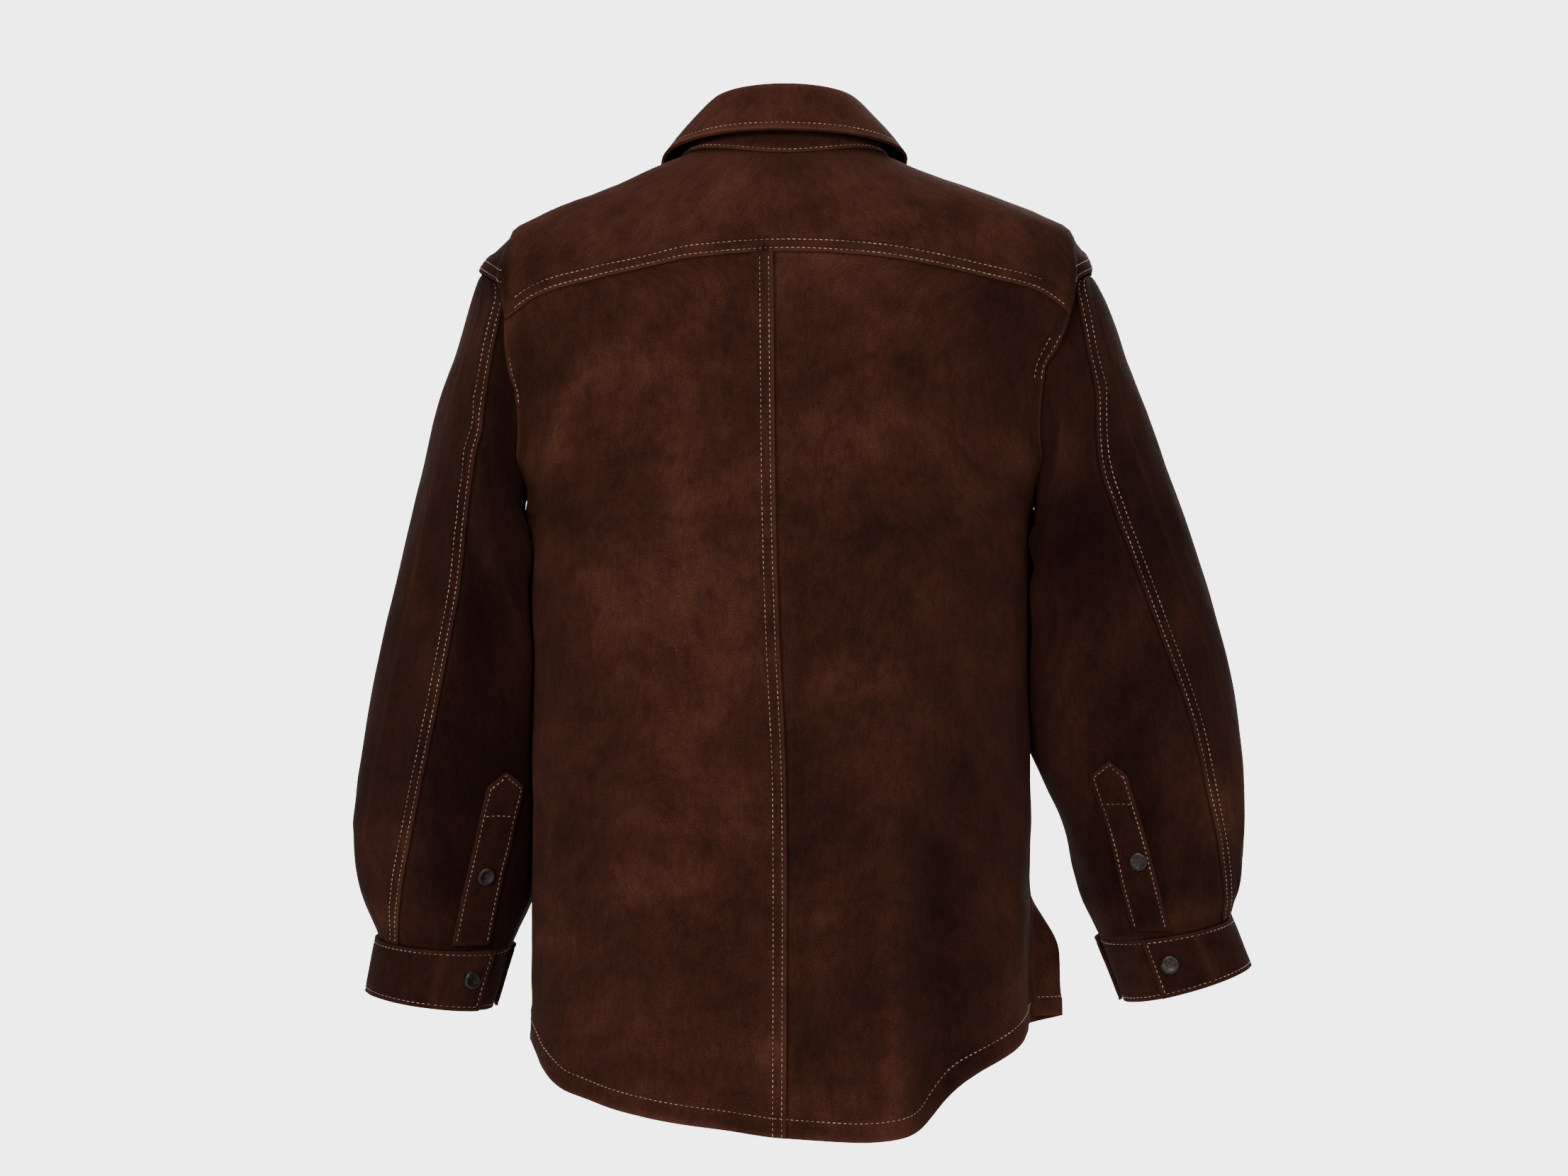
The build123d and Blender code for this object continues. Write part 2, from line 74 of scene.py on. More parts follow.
CENTRE_BACK = [(-790, -2), (-500, -2), (-380, 3), (-280, 6), (-75, 8)]
YOKE_SEAM = [(-250, -165), (-222, -141), (-202, -124), (-184, -115), (-147, -106), (-113, -98), (-69, -90),
             (0, -87), (69, -92), (98, -98), (141, -108), (177, -118), (200, -132), (250, -180)]
HEM_BACK = [(-215, -664), (-194, -682), (-170, -702), (-142, -723), (-114, -753), (-94, -762), (-63, -766),
            (0, -762), (32, -758), (103, -747), (161, -731), (184, -712), (195, -692), (215, -674)]
HEM_FRONT = [(-215, -660), (-196, -676), (-165, -700), (-120, -728), (-60, -742), (0, -744),
             (60, -742), (120, -728), (165, -700), (196, -684), (215, -668)]

NECKLINE = (80, 64, -72)
FOLD_OVAL = (57, 46, -58)
FOLD_HEIGHTS = (44, 26, -14)
LEAF_OVAL = (92, 70, -90)
LEAF_HEIGHTS = (8, -15, -66)
COLLAR_END_ANGLE = -76
LEAF_END_ANGLE = -62

SLEEVE_LEFT = [
    (198, -292, 236, -100, 62, 2, 30), (192, -302, 248, -148, 68, 0, 74),
    (184, -312, 266, -204, 71, -3, 77), (178, -326, 281, -270, 72, -7, 77),
    (176, -354, 298, -344, 71, -13, 80), (176, -431, 317, -428, 68, -24, 76),
    (178, -506, 331, -503, 66, -36, 71), (184, -561, 333, -556, 62, -46, 64),
    (209, -623, 314, -617, 47, -55, 47),
]
SLEEVE_RIGHT = [
    (198, -292, 236, -100, 62, 2, 19), (192, -302, 261, -148, 68, 0, 60),
    (184, -312, 284, -204, 71, -3, 76), (178, -326, 308, -270, 72, -7, 75),
    (176, -354, 331, -344, 71, -13, 69), (186, -441, 354, -436, 68, -22, 58),
    (213, -511, 361, -512, 66, -32, 52), (229, -561, 359, -562, 62, -42, 42),
    (250, -617, 351, -601, 47, -50, 28),
]
SLEEVE_FRONT_SEAM = -100
CUFF_LEFT = (224, -671, 321, -659, 137)
CUFF_RIGHT = (268, -666, 366, -639, 112)
CUFF_THICKNESS = 2.8
CUFF_DROOP = 6.0                       # how much lower each cuff is behind than at its sides
CUFF_TAB_ANGLE = 46
CUFF_LAP_ANGLE = 30
CUFF_SNAP_ANGLE = 16
PLACKET_LEFT = ((212, -487), (241, -617), (228, -569))
PLACKET_RIGHT = ((254, -478), (289, -605), (277, -557))
PLACKET_HALF_WIDTH = 14
PLACKET_POINT = 12
PLACKET_CROSS_ROW = 26                 # from the placket's corners down to its cross row

POCKET = (30, 138, -212, -326, 14)     # inner x, outer x, top z, side z, depth of the point
FLAP = (28, 140, -198, -240, 16)
SNAP_RADIUS = 7.5

ROW_NEAR = 3.0                         # first stitch row from a lapped edge
ROW_FAR = 9.8                          # second stitch row
WIDE_ROWS = (ROW_NEAR, ROW_FAR)
CENTRE_ROWS = (3.8, 10.6)
SLEEVE_ROWS = (3.2, 9.0)
STITCH_PITCH = 4.1
STITCH_LENGTH = 2.3
THREAD_RADIUS = 0.29
HEM_ROW = 14.5

RNG = np.random.default_rng(12)


# ---------------------------------------------------------------- smooth functions
def between(rows, key):
    """Smooth interpolation of the columns of rows at every value of key."""
    table = np.array(sorted(rows), dtype=float)
    x = table[:, 0]
    values = table[:, 1:]
    key = np.clip(np.asarray(key, dtype=float), x[0], x[-1])
    k = np.clip(np.searchsorted(x, key, side="right") - 1, 0, len(x) - 2)
    low = np.maximum(np.arange(len(x)) - 1, 0)
    high = np.minimum(np.arange(len(x)) + 1, len(x) - 1)
    slope = (values[high] - values[low]) / (x[high] - x[low])[:, None]
    step = (x[k + 1] - x[k])[..., None]
    t = ((key - x[k]) / (x[k + 1] - x[k]))[..., None]
    return (values[k] * (2 * t ** 3 - 3 * t ** 2 + 1) + slope[k] * step * (t ** 3 - 2 * t ** 2 + t)
            + values[k + 1] * (3 * t ** 2 - 2 * t ** 3) + slope[k + 1] * step * (t ** 3 - t ** 2))


def mix(a, b, t):
    return a + (b - a) * t


def smooth(low, high, value):
    t = np.clip((value - low) / (high - low), 0, 1)
    return t * t * (3 - 2 * t)


def bump(value, centre, width):
    return np.exp(-((value - centre) / width) ** 2)


def signed_power(value, power):
    return np.sign(value) * np.abs(value) ** power


def vec(x, y, z):
    x, y, z = np.broadcast_arrays(x, y, z)
    return np.stack([x, y, z], axis=-1).astype(float)


NOISE_TABLE = np.random.default_rng(5).random(4096)


def noise(x, y, z=0.0):
    """Smooth value noise between -1 and 1."""
    x, y, z = np.broadcast_arrays(x, y, z)
    xi, yi, zi = (np.floor(c).astype(int) for c in (x, y, z))
    xf, yf, zf = x - xi, y - yi, z - zi
    xf, yf, zf = (c * c * (3 - 2 * c) for c in (xf, yf, zf))
    total = 0
    for dx in (0, 1):
        for dy in (0, 1):
            for dz in (0, 1):
                cell = (xi + dx) * 73 + (yi + dy) * 1259 + (zi + dz) * 2711
                weight = ((xf if dx else 1 - xf) * (yf if dy else 1 - yf) * (zf if dz else 1 - zf))
                total = total + weight * NOISE_TABLE[cell % 4096]
    return total * 2 - 1


# ---------------------------------------------------------------- body surface
def body_point(side, angle, z, grow=0.0):
    """Points of the body. Angle 0 is the wearer's side, 90 degrees the centre back."""
    angle, z = np.broadcast_arrays(np.asarray(angle, dtype=float), np.asarray(z, dtype=float))
    half_width, back, front = np.moveaxis(between(BODY_SECTIONS, z), -1, 0)
    x = (half_width + grow) * signed_power(np.cos(angle), 2 / ROUNDNESS)
    depth = (back + front) / 2 + grow
    y = (back - front) / 2 + depth * signed_power(np.sin(angle), 2 / ROUNDNESS)
    rise = np.clip((z + 292) / 190, 0, 1)
    return vec(side * x, y, z + grow * rise)


def angle_at(x, z, face):
    half_width = between(BODY_SECTIONS, z)[..., 0]
    ratio = np.minimum(1, np.abs(x) / half_width)
    return face * np.arccos(np.sign(x) * ratio ** (ROUNDNESS / 2) + 0.0)


def armhole_x(z, side):
    left = between(ARMHOLE_LEFT, z)[..., 0]
    right = between(ARMHOLE_RIGHT, z)[..., 0]
    return np.where(np.asarray(side) > 0, left, right)


def side_angle(z, face, side):
    """Where a body row ends: at the armhole, or at the side seam below it."""
    z = np.asarray(z, dtype=float)
    return np.where(z <= ARMHOLE_BOTTOM_Z, 0, angle_at(armhole_x(z, side), z, face))


def first_past(is_past, angle, start, end, steps=160):
    """For every angle, the first height on the way from start to end that is_past."""
    heights = np.linspace(start, end, steps)
    flags = np.stack([is_past(angle, np.full_like(angle, h)) for h in heights])
    index = np.clip(np.argmax(flags, axis=0), 1, steps - 1)
    low = heights[index - 1]
    high = heights[index]
    for _ in range(18):
        middle = (low + high) / 2
        past = is_past(angle, middle)
        high = np.where(past, middle, high)
        low = np.where(past, low, middle)
    return (low + high) / 2


def neckline_z(angle):
    half_width, back, front = NECKLINE

    def is_past(a, z):
        point = body_point(1, a, z)
        y = (point[..., 1] - (back + front) / 2) / ((back - front) / 2)
        return (point[..., 0] / half_width) ** 2 + y ** 2 > 1
    return first_past(is_past, angle, -1, -95)


def yoke_bottom_z(angle, drop):
    def is_past(a, z):
        x = body_point(1, a, z)[..., 0]
        return (np.abs(x) > armhole_x(z, x)) | (z < between(YOKE_SEAM, x)[..., 0] - drop)
    return first_past(is_past, angle, -10, -170, 320)


def front_yoke_bottom_z(angle, level, side):
    def is_past(a, z):
        return (body_point(1, a, z)[..., 0] > armhole_x(z, side)) | (z < level)
    return first_past(is_past, angle, -20, level - 4, 260)


SHOULDER_FOLD_LEFT = 215
SHOULDER_FOLD_RIGHT = 217


def body_folds(point):
    """How far the leather stands out from its plain surface, from its place on the body."""
    x, y, z = point[..., 0], point[..., 1], point[..., 2]
    back = smooth(-30, 60, y)
    low = smooth(-400, -620, z)
    hem = smooth(-520, -740, z)
    fold = np.zeros_like(x)
    # the long soft folds that hang from the shoulder blades
    fold += back * 8.0 * bump(x, -88 + 6 * noise(z / 90, 3.1), 15) * smooth(-330, -600, z)
    fold -= back * 11.0 * bump(x, -126 + 5 * noise(z / 80, 7.7), 24) * low
    fold += back * 5.0 * bump(x, -178, 16) * smooth(-520, -700, z)
    fold -= back * 6.0 * bump(x, -36, 22) * hem
    fold += back * 1.2 * noise(x / 85, z / 19, 4.0) * smooth(-400, -500, z)
    fold -= back * 5.5 * bump(x, 40 + 4 * noise(z / 70, 1.3), 17) * smooth(-480, -680, z)
    fold += back * 4.0 * bump(x, 92, 30) * low
    fold -= back * 5.0 * bump(x, 150, 20) * smooth(-520, -700, z)
    fold += back * 2.5 * bump(x, 5, 14) * low
    # drag lines from the armholes over the shoulder blades
    for side in (1, -1):
        run = side * x
        lean = (z + 250) - (run - 190) * 0.9
        fold += back * 3.2 * bump(lean, 0, 13) * smooth(95, 175, run)
        fold -= back * 3.4 * bump(lean, -30, 16) * smooth(95, 170, run)
        fold += back * 2.2 * bump(run, 182, 9) * smooth(-150, -230, z) * smooth(-420, -300, z)
    # the back stands over each shoulder seam in a rolled edge
    for side, edge, low_end in ((1, SHOULDER_FOLD_LEFT, -178), (-1, SHOULDER_FOLD_RIGHT, -160)):
        run = side * x
        zone = back * smooth(-48, -74, z) * smooth(low_end - 18, low_end, z) * smooth(140, 190, run)
        fold += zone * (5.0 * smooth(edge + 3.5, edge - 2.5, run) - 2.0 + 1.5 * bump(run, edge - 7, 6))
    # soft folds all round, longer than they are wide
    turn = np.arctan2(y, x * 0.7)
    fold += 3.2 * noise(turn * 3.1 + 0.3 * noise(z / 120, 4.0), z / 230, 1.7) * smooth(-230, -480, z)
    fold += 1.4 * noise(turn * 6.7, z / 130, 8.2) * smooth(-180, -350, z)
    # slight buckling everywhere
    fold += 0.9 * noise(x / 34, z / 26, y / 40) + 0.35 * noise(x / 13, z / 11, y / 15 + 9)
    return fold


def settle(point):
    """How the jacket sits: its right shoulder is carried a little wider and higher."""
    x, z = point[..., 0], point[..., 2]
    top = smooth(-175, -100, z)
    shoulder = smooth(-14, -36, z)
    right = smooth(40, 150, -x) * top * shoulder
    left = smooth(40, 130, x) * smooth(-104, -70, z) * shoulder
    moved = np.array(point, dtype=float)
    moved[..., 0] -= 9 * right + 8.5 * left + 4 * smooth(-34, -8, z) * smooth(150, 110, np.abs(x))
    return moved


def body_gap(point):
    """How far sideways points of a sleeve are outside the folded body."""
    x, y, z = point[..., 0], point[..., 1], point[..., 2]
    half_width, back, front = np.moveaxis(between(BODY_SECTIONS, z), -1, 0)
    depth = (y - (back - front) / 2) / ((back + front) / 2)
    inside = np.clip(1 - np.abs(depth) ** ROUNDNESS, 0, 1)
    wall = half_width * inside ** (1 / ROUNDNESS)
    wall = wall + body_folds(vec(np.sign(x) * wall, y, z))
    return np.where(inside > 0.02, np.abs(x) - wall, 90.0)


def push_off_body(point, room, soft=2.0):
    """Moves points of a sleeve sideways until they lie outside the body by room."""
    gap = body_gap(point) - room
    pushed = np.array(point)
    further = soft * np.logaddexp(0, gap / soft) - gap
    pushed[..., 0] += np.sign(point[..., 0]) * further
    below = smooth(-262, -290, point[..., 2])
    return mix(point, pushed, below[..., None])


# ---------------------------------------------------------------- sleeve surface
def sleeve_rows(table, t):
    rows = [(i, *row) for i, row in enumerate(table)]
    return np.moveaxis(between(rows, np.asarray(t) * (len(table) - 1)), -1, 0)


def armhole_ring(side, angle, grow):
    """The body's armhole edge at a sleeve angle, 0 at the shoulder's tip."""
    z = mix(ARMHOLE_BOTTOM_Z, ARMHOLE_TOP_Z, (1 + np.cos(angle)) / 2)
    face = np.where(np.sin(angle) >= 0, 1.0, -1.0)
    return body_point(side, side_angle(z, face, side), z, grow)


def ellipse_point(side, x0, z0, x1, z1, depth, centre, angle, grow):
    x0, z0, x1, z1, depth, centre, angle, grow = np.broadcast_arrays(
        x0, z0, x1, z1, depth, centre, angle, grow)
    inner = vec(side * x0, centre, z0)
    outer = vec(side * x1, centre, z1)
    across = outer - inner
    length = np.linalg.norm(across, axis=-1)
    reach = (length / 2 + grow) * np.cos(angle)
    point = (inner + outer) / 2 + across / length[..., None] * reach[..., None]
    point[..., 1] += (depth + grow) * np.sin(angle)
    return point


def sleeve_point(table, side, angle, t, grow=0.0):
    x0, z0, x1, z1, depth, centre, _ = sleeve_rows(table, t)
    tube = ellipse_point(side, x0, z0, x1, z1, depth, centre, angle, grow)
    start = armhole_ring(side, angle, grow - LEATHER - 0.5)
    share = smooth(-0.01, 0.15, t)[..., None]
    tube[..., 2] -= CUFF_DROOP * np.sin(angle) * smooth(0.8, 1.0, t)
    return push_off_body(mix(start, tube, share), 1.8 + grow)


def sleeve_folds(side, angle, t):
    """Drape of a sleeve: bagging over the elbow and soft creases at its inner side."""
    seed = 3.0 if side > 0 else 11.0
    inner = (1 - np.cos(angle)) / 2
    away = smooth(0.05, 0.25, t) * smooth(1.0, 0.93, t)
    fold = 2.6 * noise(angle * 1.3 + seed, t * 5.0, seed) * away
    fold += 1.8 * noise(angle * 2.4 + t * 6, t * 9 + seed, 4.4) * away
    slant = t * 30 + 2.2 * np.sin(angle - 0.6)
    fold += 1.9 * inner * noise(slant * 0.55, angle * 0.8, seed) * smooth(0.12, 0.3, t) * away
    gather = smooth(0.86, 0.97, t) * smooth(1.0, 0.985, t)
    fold += 1.3 * gather * np.sin(angle * 11 + seed) * (0.5 + 0.5 * noise(angle * 2.0, seed))
    fold += 0.6 * noise(angle * 5, t * 26, seed) * away
    room = body_gap(sleeve_point(SLEEVE_LEFT if side > 0 else SLEEVE_RIGHT, side, angle, t)) - 1.2
    return np.where(room < 20, np.minimum(fold, np.maximum(room, 0)), fold)


def sleeve_tone_and_shading(side, angle, t, part):
    """The sleeves are painted darker than the back as painted shade, the left under panel darkest; they are
    paler over the elbows, near the cuffs and in a patch on the right sleeve, with random mottling.
    """
    # painted shade: the sleeves, and most the left under panel, are painted darker than the back
    dark = 0.62 if part == "top" else 0.40
    if side < 0:
        dark = 0.52 if part == "top" else 0.56
    tone = np.full(np.broadcast(angle, t).shape, dark)
    # paler over the elbows, near the cuffs and in a patch on the back of the right sleeve; the noise is random
    # mottling
    elbow = bump(t, 0.74 if side < 0 else 0.86, 0.09)
    reach = bump(np.degrees(angle), 25 if side < 0 else 50, 34)
    tone = tone * (1 + (2.4 if side < 0 else 0.6) * elbow * reach)
    tone = tone * (1 + 0.8 * bump(t, 0.965, 0.03))
    tone = tone * (1 + 0.55 * bump(np.degrees(angle), 128, 20) * bump(t, 0.55, 0.16) * (side < 0))
    tone = tone * (1 + 0.35 * noise(angle * 1.8 + side * 5, t * 7, 6.6))
    return tone


def sleeve_place(table, x, z):
    """The angle and t at which the back of a sleeve shows the points (x, z)."""
    low = np.zeros_like(x)
    high = np.ones_like(x)
    for _ in range(30):
        t = (low + high) / 2
        x0, z0, x1, z1 = sleeve_rows(table, t)[:4]
        past = (x1 - x0) * (z - z0) - (z1 - z0) * (x - x0) > 0
        high = np.where(past, t, high)
        low = np.where(past, low, t)
    t = (low + high) / 2
    x0, z0, x1, z1 = sleeve_rows(table, t)[:4]
    length = (x1 - x0) ** 2 + (z1 - z0) ** 2
    fraction = ((x - x0) * (x1 - x0) + (z - z0) * (z1 - z0)) / length
    return np.arccos(2 * np.clip(fraction, 0.005, 0.995) - 1), t


# ---------------------------------------------------------------- sheets of leather
def grid_lines(length, spacing, fine_start, fine_end, reach=1.0):
    """Fractions from 0 to 1 for grid lines, closer together near the chosen edges."""
    near = reach * np.array([0, 0.5, 1.2, 2.2, 3.2, 4.2, 5.4, 6.8, 8.4, 9.4, 10.4, 11.4, 12.6, 14, 15.5])
    count = max(4, int(length / spacing))
    lines = list(np.linspace(0, 1, count + 1))
    if fine_start:
        lines = [v for v in lines if v * length > near[-1] + 1 or v == 0] + list(near / length)
    if fine_end:
        lines = [v for v in lines if (1 - v) * length > near[-1] + 1 or v == 1] + list(1 - near / length)
    lines = np.unique(np.round(np.clip(lines, 0, 1), 7))
    return lines


def lengths(points, axis):
    """Distance along one grid direction from its start."""
    step = np.linalg.norm(np.diff(points, axis=axis), axis=-1)
    zero_shape = list(step.shape)
    zero_shape[axis] = 1
    return np.concatenate([np.zeros(zero_shape), np.cumsum(step, axis=axis)], axis=axis)


def edge_distances(points):
    """The distance of every point from each edge, measured square to that edge."""
    du = lengths(points, 0)
    dv = lengths(points, 1)
    along_u = np.gradient(points, axis=0)
    along_v = np.gradient(points, axis=1)
    area = np.linalg.norm(np.cross(along_u, along_v), axis=-1)
    sides = np.linalg.norm(along_u, axis=-1) * np.linalg.norm(along_v, axis=-1)
    square = area / np.maximum(sides, 1e-9)
    return {"u0": du * square[:1, :], "u1": (du[-1:, :] - du) * square[-1:, :],
            "v0": dv * square[:, :1], "v1": (dv[:, -1:] - dv) * square[:, -1:]}


def grid_normals(points, outward):
    du = np.gradient(points, axis=0)
    dv = np.gradient(points, axis=1)
    normal = np.cross(du, dv)
    normal /= np.maximum(np.linalg.norm(normal, axis=-1, keepdims=True), 1e-9)
    flip = np.sign(np.sum(normal * outward, axis=-1).mean())
    return normal * flip


def lap_profile(distance, rows=WIDE_ROWS, height=LEATHER):
    """The height of a lapped edge: a raised layer, drawn down along its stitch rows."""
    raised = height * smooth(rows[-1] + 9, rows[-1] + 1, distance)
    for row in rows:
        raised = raised - 0.55 * bump(distance, row, 1.1)
    raised = raised - 0.5 * bump(distance, 0, 0.9)
    return raised


def tone_and_shading_at(point, level):
    """How light the nap is at each point: random mottling, with painted light and shade laid over it: the left
    half and the top of the back painted lighter, painted shade in the fold valleys and painted light on the fold
    ridges, and painted shade beside the armholes and under the rolled shoulder edges.
    """
    x, y, z = point[..., 0], point[..., 1], point[..., 2]
    tone = np.full(x.shape, 1.0) * level
    back = smooth(-20, 40, y)
    body = smooth(214, 205, np.abs(x))
    # painted light and shade: the left half, the top and a broad patch on the left painted lighter, the lower
    # right darker, fold valleys painted darker and fold ridges lighter
    tone = tone * (1 + 0.18 * back * body * smooth(-60, 60, x))
    tone = tone * (1 + 0.22 * back * body * smooth(-96, -80, z))
    tone = tone * (1 - 0.22 * back * body * smooth(-500, -640, z) * smooth(-110, -140, x))
    tone = tone * (1 - 0.42 * back * body * bump(x, -124, 26) * smooth(-430, -600, z))
    tone = tone * (1 + 0.30 * back * body * bump(x, -86, 11) * smooth(-430, -600, z))
    tone = tone * (1 + 0.45 * back * body * bump(x, -185, 18) * smooth(-560, -660, z))
    tone = tone * (1 - 0.25 * back * body * bump(x, 26, 18) * smooth(-480, -640, z))
    tone = tone * (1 - 0.22 * back * body * bump(x, -14, 13) * smooth(-250, -420, z))
    tone = tone * (1 + 0.14 * back * body * bump(x, 70, 45) * bump(z, -330, 170))
    # painted shade under the rolled edges over the shoulder seams, and beside the armholes
    tip = smooth(-50, -74, z) * smooth(-130, -112, z)
    tone = tone * (1 - 0.5 * back * tip * smooth(206, 210, x))
    tone = tone * (1 - 0.45 * back * tip * smooth(222, 226, -x))
    tone = tone * (1 - 0.25 * back * body * bump(x, 197, 9) * smooth(-130, -160, z) * smooth(-215, -190, z))
    tone = tone * (1 - 0.35 * back * body * bump(x + 175, 0, 22) * smooth(-100, -125, z) * smooth(-240, -190, z))
    tone = tone * (1 - 0.5 * bump(x, -200, 10) * bump(z, -240, 16) * back)
    # random mottling of the nap
    tone = tone * (1 + 0.20 * noise(x / 70, z / 60, y / 90) + 0.12 * noise(x / 24, z / 20, y / 30))
    return np.clip(tone, 0.1, 2.0)


class Panel:
    """One leather piece: its outer surface as a grid, with normals and edge distances."""

    def __init__(self, base, outward, folds=0.0, laps=(), single=(), thickness=LEATHER, tone=1.0, shadowed_edges=()):
        base = settle(base)
        self.distance = edge_distances(base)
        normal = grid_normals(base, outward)
        height = np.zeros(base.shape[:2]) + folds
        for edge, rows in laps:
            height = height + lap_profile(self.distance[edge], rows)
        for edge, row in single:
            height = height - 0.45 * bump(self.distance[edge], row, 1.3)
        self.flat = base
        self.points = base + normal * height[..., None]
        self.normals = grid_normals(self.points, outward)
        self.thickness = thickness
        # the tone holds the nap's mottling and painted light and shade
        self.tone = tone_and_shading_at(self.points, tone)
        # painted shadow: a band beside each of these edges, where a neighbouring piece laps over it, is painted
        # darker
        for edge, distance in shadowed_edges:
            self.tone = self.tone * (1 - 0.6 * smooth(distance + 2.5, distance, self.distance[edge]))
        # painted shade in the dips along each lap's stitch rows and at its very edge
        for edge, rows in laps:
            for row in rows:
                self.tone = self.tone * (1 - 0.18 * bump(self.distance[edge], row, 1.3))
            self.tone = self.tone * (1 - 0.35 * smooth(1.2, 0, self.distance[edge]))
        self.wear = np.zeros(base.shape[:2])
        for edge in ("u0", "u1", "v0", "v1"):
            self.wear = np.maximum(self.wear, bump(self.distance[edge], 0, 3.5))

    def across(self, v_lines, v_at):
        """Points and normals of a line that crosses every column at the fraction v_at."""
        line = [[np.interp(at, v_lines, self.points[i, :, k]) for k in range(3)]
                for i, at in enumerate(v_at)]
        facing = [[np.interp(at, v_lines, self.normals[i, :, k]) for k in range(3)]
                  for i, at in enumerate(v_at)]
        return np.array(line), np.array(facing)

    def inset(self, edge, distance, start=0.0, end=0.0):
        """Points and normals of a line parallel to an edge, shortened at its ends."""
        points, normals, away = self.points, self.normals, self.distance[edge]
        if edge[0] == "v":
            points, normals, away = (np.swapaxes(a, 0, 1) for a in (points, normals, away))
        line = []
        facing = []
        for column in range(points.shape[1]):
            track = away[:, column]
            order = np.argsort(track)
            values = [np.interp(distance, track[order], points[order, column, k]) for k in range(3)]
            tilt = [np.interp(distance, track[order], normals[order, column, k]) for k in range(3)]
            line.append(values)
            facing.append(tilt)
        line = np.array(line)
        facing = np.array(facing)
        run = np.concatenate([[0], np.cumsum(np.linalg.norm(np.diff(line, axis=0), axis=1))])
        keep = (run >= start) & (run <= run[-1] - end)
        return line[keep], facing[keep]


def mesh_object(name, vertices, faces, flat_faces=(), uvs=None, marks=None):
    mesh = bpy.data.meshes.new(name)
    mesh.from_pydata((np.asarray(vertices) * MM).tolist(), [], faces)
    smooth_flags = np.ones(len(faces), dtype=bool)
    smooth_flags[list(flat_faces)] = False
    mesh.polygons.foreach_set("use_smooth", smooth_flags)
    if uvs is not None:
        layer = mesh.uv_layers.new(name="UVMap")
        loops = np.zeros(len(mesh.loops), dtype=np.int32)
        mesh.loops.foreach_get("vertex_index", loops)
        layer.data.foreach_set("uv", np.asarray(uvs)[loops].astype(np.float32).ravel())
    for mark, values in (marks or {}).items():
        attribute = mesh.attributes.new(mark, "FLOAT", "POINT")
        attribute.data.foreach_set("value", np.asarray(values, dtype=np.float32))
    mesh.update()
    piece = bpy.data.objects.new(name, mesh)
    bpy.context.collection.objects.link(piece)
    return piece


def panel_object(name, panel, material):
    """A closed sheet with the panel's outer surface and its leather's thickness."""
    outer = panel.points
    inner = outer - panel.normals * panel.thickness
    rows, columns = outer.shape[:2]
    count = rows * columns
    index = np.arange(count).reshape(rows, columns)
    a, b = index[:-1, :-1].ravel(), index[1:, :-1].ravel()
    c, d = index[1:, 1:].ravel(), index[:-1, 1:].ravel()
    first = np.cross(outer[1, 0] - outer[0, 0], outer[0, 1] - outer[0, 0])
    middle = (rows // 2, columns // 2)
    first = np.cross(outer[middle[0] + 1, middle[1]] - outer[middle],
                     outer[middle[0], middle[1] + 1] - outer[middle])
    outward = np.dot(first, panel.normals[middle]) > 0
    quads = np.stack([a, b, c, d], axis=1)
    top = quads if outward else quads[:, ::-1]
    bottom = (quads[:, ::-1] if outward else quads) + count
    rim = []
    loop = list(index[:, 0]) + list(index[-1, 1:]) + list(index[-2::-1, -1]) + list(index[0, -2:0:-1])
    for i, j in zip(loop, loop[1:] + loop[:1]):
        face = (i, j, j + count, i + count)
        rim.append(face[::-1] if outward else face)
    faces = [tuple(int(i) for i in f) for f in (*top.tolist(), *bottom.tolist(), *rim)]
    uv = np.stack([lengths(panel.flat, 0).mean(axis=1)[:, None] + np.zeros((rows, columns)),
                   lengths(panel.flat, 1)], axis=-1).reshape(-1, 2) * MM
    uv = uv + RNG.random(2) * 4
    vertices = np.concatenate([outer.reshape(-1, 3), inner.reshape(-1, 3)])
    uvs = np.concatenate([uv, uv])
    wear = np.concatenate([panel.wear.ravel(), panel.wear.ravel()])
    tone = np.concatenate([panel.tone.ravel(), panel.tone.ravel()])
    rim_faces = range(len(top) + len(bottom), len(faces))
    piece = mesh_object(name, vertices, faces, rim_faces, uvs, {"wear": wear, "tone": tone})
    piece.data.materials.append(material)
    return piece


# ---------------------------------------------------------------- stitches
STITCH_SIDES = 6
STITCH_PROFILE = [(-0.5, -0.45), (-0.36, 0.22), (0.0, 0.36), (0.36, 0.22), (0.5, -0.45)]


def resample(line, normals, pitch):
    run = np.concatenate([[0], np.cumsum(np.linalg.norm(np.diff(line, axis=0), axis=1))])
    count = max(1, int(run[-1] // pitch))
    at = (np.arange(count) + 0.5) * run[-1] / count
    points = np.stack([np.interp(at, run, line[:, k]) for k in range(3)], axis=1)
    ahead = np.stack([np.interp(np.minimum(at + 1, run[-1]), run, line[:, k]) for k in range(3)], axis=1)
    behind = np.stack([np.interp(np.maximum(at - 1, 0), run, line[:, k]) for k in range(3)], axis=1)
    facing = np.stack([np.interp(at, run, normals[:, k]) for k in range(3)], axis=1)
    return points, ahead - behind, facing


